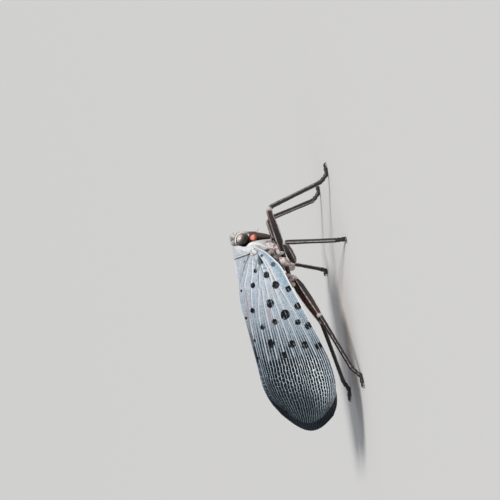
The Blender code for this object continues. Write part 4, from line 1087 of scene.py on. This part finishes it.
# The cross veins are a little finer than the others, and only the net has them.
cross_mm = wing.plus(wing.plus(from_cross, 0.032), wing.times(wing.minus(1.0, in_net), 2.0))
net_mm = wing.math("SMOOTH_MIN", from_vein, cross_mm, 0.04)
vein_width = wing.times("lane_mm", wing.spread("across", 0.4, 0.85, 0.108, 0.165))
vein_width = wing.plus(vein_width, wing.stray(0.05, 0.35))
on_vein = wing.spread(wing.minus(net_mm, vein_width), -0.02, 0.02, 1.0, 0.0)

# The skin: blue and lilac, flecked, and darker towards the net.
wing.stain(wing.noise(1.6, 3), 0.35, 0.65, SKIN_LILAC)
wing.stain("across", 0.80, 0.90, FRONT_BLUE, 0.95)
dusk = wing.spread(wing.ragged(zone, 3.0, 1.5, shift=0.08), -9.8, 0.3)
vein_tone = wing.mix(dusk, VEIN_WHITE, VEIN_GREY)
wing.coat(wing.times(dusk, 0.94), DUSK_BLUE)
wing.stain(wing.noise(0.30, 5), 0.42, 0.68, FLECK_DARK, 0.65)
wing.stain(wing.noise(0.14, 4, shift=0.02), 0.46, 0.68, FLECK_PALE, 0.6)
# The skin between the fine veins is crossed by still finer ones, which show as faint pale rungs.
rung = wing.spread(wing.math("PINGPONG", wing.times(cell_at, 2.0), 0.5), 0.16, 0.02)
rung = wing.times(rung, wing.spread(wing.noise(0.5, shift=0.03), 0.42, 0.58))
wing.coat(wing.times(rung, 0.35), VEIN_WHITE)
# Dark stripes run between the fine veins up to the net, with pale lines on the veins themselves.
stripe = wing.minus(from_vein, wing.spread(zone, -4.5, 0.0, 0.135, 0.065))
stripe = wing.times(wing.spread(stripe, -0.03, 0.03), wing.spread(before_net, 0.0, 0.9, 0.0, 0.95))
drawn_out = wing.noise(0.5, 3, stretch=(1.0, 0.4, 1.0))
wing.coat(wing.times(stripe, wing.spread(drawn_out, 0.34, 0.52, 0.55, 1.0)), NIGHT_BLUE)
fine_line = wing.times(wing.spread(from_vein, 0.075, 0.02), wing.spread("along", 0.12, 0.5))
wing.coat(wing.times(fine_line, 0.5), vein_tone)
# A painted shadow lies along one side of each main vein, as if the raised vein cast it, and fades out
# before the middle of the wing.
vein_shadow_line = wing.times(wing.spread("vein_shadow_mm", 0.10, 0.01),
                        wing.spread(wing.noise(0.8, shift=0.06), 0.38, 0.56, 0.0, 0.8))
wing.coat(wing.times(vein_shadow_line, wing.spread("along", 0.45, 0.3)), VEIN_SHADOW)
wing.stain("main_mm", 0.14, 0.05, vein_tone, 0.85)

# The net: pale veins on nearly black cells, which run together into a haze along both edges.
net_vein = wing.mix(wing.spread("across", 0.15, 0.7), NET_RIDGE, NET_WHITE)
net_vein = wing.mix(wing.spread(wing.ragged(tip_dark_and_shade, 0.3, 1.0), 0.15, 1.15), net_vein, NET_DARK)
net = wing.mix(on_vein, NIGHT_BLUE, net_vein)
edge_mm = wing.math("MINIMUM", "front_mm", "ridge_mm")
haze = wing.spread(wing.ragged(edge_mm, 1.2, 0.4, 5), 0.6, 1.8, 0.38, 0.0)
wing.coat(in_net, wing.mix(haze, net, wing.mix(tip_dark_and_shade, HAZE_PALE, HAZE_DARK)))

# Spots: each is split by the veins of every other lane and, more faintly, by cross veins.
in_spot = wing.spread(wing.plus("spot_mm", wing.stray(0.34, 0.35)), -0.02, 0.06, 1.0, 0.0)
even_vein = wing.times(wing.math("PINGPONG", lane, 1.0), "lane_mm")
split = wing.times(wing.spread(even_vein, 0.050, 0.015, 0.0, 0.65), wing.spread("lane_mm", 0.10, 0.21))
split = wing.math("MAXIMUM", split, wing.spread(from_cross, 0.045, 0.015, 0.0, 0.3))
split = wing.times(split, wing.spread(wing.noise(0.45, shift=0.01), 0.41, 0.54))
wing.coat(in_spot, wing.mix(split, SPOT_BLACK, SPOT_SPLIT))
wing.stain(wing.ragged("faint_mm", 0.12, 0.2), 0.02, 0.10, FAINT_BLUE, 0.0, 0.95)

# Marks at the root and along the ridge, among them a painted shadow beside a main vein, a pale front
# edge, and the underside darkened with painted shade.
wing.stain(wing.ragged("stain_mm", 0.5, 0.4), 0.15, 0.6, STAIN_PINK, 0.0, 0.6)
wing.stain(wing.ragged("wedge_mm", 0.3, 0.25), 0.05, 0.30, WEDGE_BLUE, 0.0, 0.9)
wing.stain(wing.ragged("slit_mm", 0.12, 0.15), 0.06, 0.15, SPOT_BLACK, 0.0, 0.95)
# the dark lines by the root, the second of them a painted shadow beside a main vein
thread_ink = wing.spread(wing.noise(0.5, shift=0.05), 0.36, 0.50, 0.35, 0.85)
wing.coat(wing.times(wing.spread("thread_mm", 0.11, 0.03), thread_ink), THREAD_GREY)
ring_ink = wing.spread(wing.noise(0.3, shift=0.04), 0.40, 0.52, 0.1, 0.8)
wing.coat(wing.times(wing.spread("ring_mm", 0.10, 0.03), ring_ink), RING_BLUE)
brown_at = wing.minus("brown_mm", wing.spread("along", 0.1, 0.35, 0.03, 0.11))
brown_ink = wing.spread(wing.plus(wing.noise(0.9), "along"), 1.25, 1.0, 0.0, 0.7)
wing.coat(wing.times(wing.spread(brown_at, 0.06, -0.03), brown_ink),
          wing.mix(wing.spread("along", 0.12, 0.3), OLIVE, LINE_BROWN))
white_edge = wing.minus("front_mm", wing.spread("along", 0.1, 0.8, 0.20, 0.07))
wing.stain(white_edge, 0.0, -0.05, EDGE_WHITE, 0.95)
# painted shade darkens the wing's underside
wing.coat("inside", wing.mix(0.75, wing.tone, UNDERSIDE_SHADE_BLUE))
wing.rough(wing.spread(wing.math("MAXIMUM", in_spot, in_net), 0.0, 1.0, 0.50, 0.58))
wing.relief(wing.times(on_vein, in_net), 0.035)
wing.relief(fine_line, 0.02)
wing.relief(wing.noise(0.12, 5), 0.012)

for side, word in SIDES:
    grid = wing_grid(side)
    values = wing_values(*grid)
    outer = grid[-1]
    normal = unit(np.cross(np.gradient(outer, axis=0), np.gradient(outer, axis=1)))
    normal *= np.sign(normal[..., :1].mean())
    inner = outer - WING_SKIN * normal
    inner[..., 0] = np.maximum(inner[..., 0], RIDGE_HALF_GAP)
    outer = outer + wing_relief(values)[..., None] * normal
    shell(f"forewing_skin_{word}", place(outer, side), place(inner, side), wing,
          [f"forewing_{word}"], values)

# Legs: six, each of a stout hip piece, a flattened thigh with sharp edges, a four-sided shin and a foot
# of three joints with two claws and a pad. The pieces roll on each other in narrow joints.

JOINT_REACH = 0.12                 # how far each piece reaches past the middle of a joint
FILLETS = (0.5, 0.7, 0.4, 0.3)
SOLE_HEIGHT = 0.2
TOE_SHORTER = 0.48                 # to leave room for the claws
LEGS = {
    # the hip in the body's frame, then trochanter, knee, ankle and tip on the floor's frame
    "fore_r": ((-1.35, -0.95, -3.9), (-2.6, 0.45, 6.8), (-4.5, -4.9, 8.0), (-4.6, -7.2, 1.05),
               (-4.4, -9.4, 0.0)),
    "fore_l": ((1.35, -0.95, -3.9), (2.4, 0.2, 6.4), (4.6, -4.9, 7.2), (5.4, -6.6, 1.05),
               (5.6, -8.8, 0.0)),
    "mid_r": ((-1.5, 1.3, -4.6), (-2.7, 1.9, 5.6), (-7.0, -0.1, 7.0), (-9.6, 0.9, 1.05),
              (-11.7, 1.2, 0.0)),
    "mid_l": ((1.5, 1.3, -4.6), (2.5, 1.9, 5.2), (6.9, 0.3, 6.2), (9.4, 1.6, 1.05),
              (11.5, 2.1, 0.0)),
    "hind_r": ((-1.5, 3.2, -4.7), (-2.4, 4.0, 5.7), (-3.7, 8.9, 3.7), (-5.8, 16.2, 1.05),
               (-6.8, 18.6, 0.0)),
    "hind_l": ((1.5, 3.2, -4.7), (2.2, 4.0, 5.4), (3.5, 8.9, 2.7), (5.9, 16.6, 0.8),
               (7.2, 18.9, 0.0)),
}
SEGMENTS = {
    # (share, radius) along the piece, how thin its other side is, and how square its section is
    "coxa": (((0.0, 0.62), (0.5, 0.60), (0.85, 0.50), (1.0, 0.40)), 0.85, 2.2),
    "femur": (((0.0, 0.30), (0.08, 0.36), (0.2, 0.45), (0.55, 0.47), (0.9, 0.35), (1.0, 0.33)),
              0.70, 2.9),
    "tibia": (((0.0, 0.33), (0.08, 0.27), (0.5, 0.235), (0.9, 0.25), (1.0, 0.30)), 0.88, 3.4),
    "tarsus": (((0.0, 0.22), (0.10, 0.24), (0.28, 0.29), (0.33, 0.20), (0.40, 0.24), (0.56, 0.29),
                (0.61, 0.20), (0.70, 0.22), (0.90, 0.28), (1.0, 0.22)), 1.0, 2.2),
}
PIECE_ROWS = 120
EDGED = ("femur", "tibia")         # the pieces with sharp edges and fine hairs
EDGE_HEIGHT = 0.03
HAIRS_PER_PIECE, HAIR_ROWS, HAIR_LENGTHS, HAIR_RADIUS = 90, (12, 108), (0.12, 0.24), 0.014
SPINE_SHARES, SPINE_REACH = (0.34, 0.50, 0.66, 0.81, 0.94), 0.68
SPINE_TAPER = ((0, 0.19), (0.4, 0.14), (1, 0.02))
CLAW_SPREAD = 0.45
CLAW_HOOK = ((-0.15, 0.03), (0.2, 0.12), (0.45, 0.08), (0.58, -0.16))  # (ahead, up) from the toe
CLAW_TAPER = ((0, 0.15), (0.4, 0.12), (0.8, 0.06), (1, 0.02))
PAD_PLACE, PAD_RADII = (0.22, -0.07), (0.14, 0.14, 0.09)   # the place is (ahead, up) from the toe
LEG_BLACK, THIGH_RED, EDGE_HIGHLIGHT_GREY = (0.006, 0.005, 0.006), (0.10, 0.030, 0.020), (0.60, 0.56, 0.55)
KNEE_CREAM, HIP_PINK, HIP_DUST = (0.66, 0.60, 0.56), (0.62, 0.52, 0.50), (0.70, 0.64, 0.62)
HIP_BROWN, PAD_BROWN, PAD_TAN = (0.16, 0.06, 0.05), (0.30, 0.24, 0.20), (0.42, 0.36, 0.30)


def rounded_path(joints, fillets, steps=12):
    """The line through the joints with each corner rounded, and where each joint falls on it.

    A corner is a parabola that starts and ends one fillet length from the joint.
    """
    line, marks = [joints[0]], []
    for before, corner, after, fillet in zip(joints, joints[1:], joints[2:], fillets):
        start = corner + unit(before - corner) * fillet
        end = corner + unit(after - corner) * fillet
        t = np.linspace(0, 1, 2 * steps + 1)[:, None]
        line.extend(start * (1 - t) ** 2 + 2 * corner * t * (1 - t) + end * t**2)
        marks.append(len(line) - 1 - steps)
    line.append(joints[-1])
    return np.array(line), marks


def carried(line, across, levels, thin, square, sides=48, cap=0.22):
    """Superellipse rings along a line, as wide as its levels say, closed by a rounded cap at each end.

    The section's thin side faces across, and square is the superellipse's power.
    """
    run = run_along(line)
    share = run / run[-1]
    near_end = np.clip(1 - np.minimum(run, run[-1] - run) / cap, 0, 1)
    radius = np.interp(share, *zip(*levels)) * np.sqrt(np.clip(1 - near_end**2.4, 0.02, 1))
    ahead = unit(np.gradient(line, axis=0))
    flat = unit(across - (ahead @ across)[:, None] * ahead)
    deep = np.cross(ahead, flat)
    c, s = (squarish(wave(turns(sides)), 2 / square)[:, None] for wave in (np.cos, np.sin))
    rings = line[:, None] + radius[:, None, None] * (c * deep[:, None] + thin * s * flat[:, None])
    rings[..., 2] = np.maximum(rings[..., 2], 0.0)
    return rings, share[:, None]


def cones(roots, tips, radius):
    """Points and faces of many fine cones of three sides, one from each root to its tip."""
    ahead = unit(tips - roots)
    side = unit(np.cross(ahead, [0.3, 0.5, 0.8]))
    other = np.cross(ahead, side)
    c, s = np.cos(turns(3))[:, None], np.sin(turns(3))[:, None]
    base = roots[:, None] + radius * (c * side[:, None] + s * other[:, None])
    points = np.concatenate([base, tips[:, None]], 1).reshape(-1, 3)
    first = 4 * np.arange(len(roots))[:, None]
    corners = ((0, 1, 3), (1, 2, 3), (2, 0, 3), (2, 1, 0))
    return points, np.concatenate([first + list(three) for three in corners])


leg_horn = horn("leg_horn", 0.32)
leg_horn.coat(0.6, LEG_BLACK)
leg_horn.coat("red", THIGH_RED)
# Painted highlight: pale lines along the sharp edges of thighs and shins, where their gloss would catch
# the light, made patchy by noise.
highlight_breaks = leg_horn.spread(leg_horn.noise(0.6, 3), 0.35, 0.6, 0.3, 0.9)
leg_horn.coat(leg_horn.times(leg_horn.spread("edge", 0.3, 0.8, 0.0, 0.85), highlight_breaks), EDGE_HIGHLIGHT_GREY)
leg_horn.stain("end", 0.2, 0.7, KNEE_CREAM, 0.85)
hip_wax = wax_skin("hip_wax", HIP_PINK, HIP_DUST, UMBER)
hip_wax.stain(hip_wax.noise(0.6, 4, shift=0.02), 0.52, 0.60, HIP_BROWN, 0.8)
claw_horn = horn("claw_horn", 0.25)
foot_pad = Finish("foot_pad", PAD_BROWN, Roughness=0.6)
foot_pad.stain(foot_pad.noise(0.1), 0.4, 0.6, PAD_TAN)
random = np.random.default_rng(7)


def leg_piece(word, part, path, across):
    """One piece of a leg along its path; it gives the roots and tips of the hairs that stand on it."""
    rings, share = carried(path, across, *SEGMENTS[part])
    columns = rings.shape[1]
    corner = np.abs(np.sin(2 * turns(columns))) ** 9
    roots = tips = np.zeros((0, 3))
    if part in EDGED:
        rings = raised(rings, EDGE_HEIGHT * corner * ease(share, 0.05, 0.15) * ease(share, 0.95, 0.85))
        chosen = (random.integers(*HAIR_ROWS, HAIRS_PER_PIECE),
                  random.integers(0, columns, HAIRS_PER_PIECE))
        out, at = outward(rings)[chosen], rings[chosen]
        way = unit(out + 1.2 * unit(path[-1] - path[0]))
        roots = at - 0.01 * out
        tips = at + way * random.uniform(*HAIR_LENGTHS, (HAIRS_PER_PIECE, 1))
    knee = hump(share, 1.0, 0.10) * (part == "femur") + hump(share, 0.0, 0.09) * (part == "tibia")
    skin(f"{word}_{part}_skin", stand(rings), hip_wax if part == "coxa" else leg_horn,
         [f"{word}_{part}"],
         # edge carries the painted highlight along the sharp edges
         {"edge": corner * (1 - hump(share, 0.0, 0.1)) * (part in EDGED),
          "red": ease(share, 0.2, 0.9) * 0.3 * (part == "femur"), "end": 0.8 * knee})
    return roots, tips


def shin_spines(word, path, across, outwards):
    """A row of stout spines along the outer side of a hind shin, leaning towards the foot."""
    run = run_along(path)
    lean = unit(outwards + 0.75 * unit(path[-1] - path[0]))
    for k, root in enumerate(at_runs(path, run / run[-1], SPINE_SHARES)):
        way = root + np.linspace(0.0, SPINE_REACH, 24)[:, None] * lean
        spine, _ = carried(way, across, SPINE_TAPER, 1.0, 2.0, 20, 0.02)
        skin(f"{word}_spine_{k + 1}", stand(spine), claw_horn, [])


def foot_end(word, ball, toe):
    """Two claws that spread and hook down from the toe, and a soft pad between them."""
    ahead = unit(toe - ball)
    aside = np.array([ahead[1], -ahead[0], 0.0])
    for way, name in ((1, "a"), (-1, "b")):
        out = unit(ahead + CLAW_SPREAD * way * aside)
        hook = through([toe + far * out + [0, 0, up] for far, up in CLAW_HOOK], 40)
        claw, _ = carried(hook, aside, CLAW_TAPER, 0.8, 2.0, 24, 0.05)
        skin(f"{word}_claw_{name}", stand(claw), claw_horn, [])
    pad = toe + PAD_PLACE[0] * ahead + [0, 0, PAD_PLACE[1]] + ball_rings(24, 36) * PAD_RADII
    skin(f"{word}_pad", stand(pad), foot_pad, [])


for word, (hip, *joints) in LEGS.items():
    hip, trochanter, knee, ankle, toe = np.array([to_stance(hip), *joints])
    toe = toe + unit(ankle - toe) * TOE_SHORTER
    ball = 0.5 * ankle + 0.5 * toe
    ball[2] = toe[2] = SOLE_HEIGHT
    line, marks = rounded_path(np.array([hip, trochanter, knee, ankle, ball, toe]), FILLETS)
    run = run_along(line)
    cuts = [0.0, *run[marks[:3]], run[-1]]
    across = unit(np.cross(knee - trochanter, ankle - knee))
    outwards = np.array([np.sign(knee[0]), 0.0, 0.0])
    hairs = []
    for n, part in enumerate(SEGMENTS):
        before, past = (JOINT_REACH if n > 0 else 0), (JOINT_REACH if n < 3 else 0)
        path = at_runs(line, run, np.linspace(cuts[n] - before, cuts[n + 1] + past, PIECE_ROWS))
        hairs.append(leg_piece(word, part, path, across))
        if part == "tibia" and word.startswith("hind"):
            shin_spines(word, path, across, outwards)
    points, faces = cones(*(np.vstack(ends) for ends in zip(*hairs)), HAIR_RADIUS)
    make_piece(f"{word}_bristles", stand(points), [faces], bristle, [], sharp=180)
    foot_end(word, ball, toe)

# Stage: a plain pale paper floor, on which the feet stand, two soft lamps, a faint sky and the camera
# at the photograph's angle.

PX_PER_MM = 8.1                    # the insect's 25 mm span 203 pixels
IMAGE_PX = 500
LENS, SENSOR = 200.0, 36.0
CAMERA_DISTANCE = IMAGE_PX / PX_PER_MM * LENS / SENSOR
CAMERA_RISE, CAMERA_TURN, CAMERA_TILT = math.radians(6), math.radians(8), math.radians(8)
TARGET = np.array([0.0, -0.73, 10.5])
FLOOR_HALF = 40000.0
LAMP_DISTANCE = 200.0
PAPER, WARM_WHITE, COOL_WHITE = (0.78, 0.77, 0.75), (1.0, 0.985, 0.96), (0.93, 0.96, 1.0)
SKY, SKY_STRENGTH = (0.9, 0.93, 1.0, 1.0), 0.34

floor_mesh = bpy.data.meshes.new("floor")
corners = [(x * FLOOR_HALF, y * FLOOR_HALF, 0) for x, y in ((-1, -1), (1, -1), (1, 1), (-1, 1))]
floor_mesh.from_pydata(stand(corners).tolist(), [], [(0, 1, 2, 3)])
floor_mesh.materials.append(Finish("floor_paper", PAPER, Roughness=0.8).material)
shown("floor", floor_mesh)

rise, turn, tilt = CAMERA_RISE, CAMERA_TURN, CAMERA_TILT
back = np.array([-math.cos(rise) * math.cos(turn), math.cos(rise) * math.sin(turn), math.sin(rise)])
up = np.array([math.sin(rise) * math.cos(turn), -math.sin(rise) * math.sin(turn), math.cos(rise)])
level = np.array([math.sin(turn), math.cos(turn), 0.0])
right = -math.cos(tilt) * up + math.sin(tilt) * level
down = math.sin(tilt) * up + math.cos(tilt) * level


def look(place_at, axes, name, data):
    """An object that looks along the third axis backwards, with the first to its right."""
    made = shown(name, data)
    turned = Matrix(np.stack(axes, -1).tolist()).to_4x4()
    turned.translation = place_at.tolist()
    made.matrix_world = turned
    return made


def lamp(name, toward, softness, strength, colour):
    """A far soft lamp in a direction from the insect; softness is its breadth in the sky in degrees."""
    data = bpy.data.lights.new(name, "SUN")
    data.angle, data.energy, data.color = math.radians(softness), strength, colour
    z = unit(toward)
    x = unit(np.cross([0, 0, 1], z))
    look(stand(TARGET + LAMP_DISTANCE * z), [x, np.cross(z, x), z], name, data)


lamp("key_lamp", [-0.80, -0.55, 0.80], 18, 2.5, WARM_WHITE)
lamp("fill_lamp", [-0.60, 0.80, 0.35], 70, 0.35, COOL_WHITE)
world = bpy.data.worlds.new("studio")
world.use_nodes = True
world.node_tree.nodes["Background"].inputs["Color"].default_value = SKY
world.node_tree.nodes["Background"].inputs["Strength"].default_value = SKY_STRENGTH
bpy.context.scene.world = world

camera_data = bpy.data.cameras.new("camera")
camera_data.lens, camera_data.sensor_width = LENS, SENSOR
camera_data.clip_start = 0.001
bpy.context.scene.camera = look(stand(TARGET + CAMERA_DISTANCE * back), [right, -down, back],
                                "camera", camera_data)

bpy.context.scene.view_settings.view_transform = "Standard"
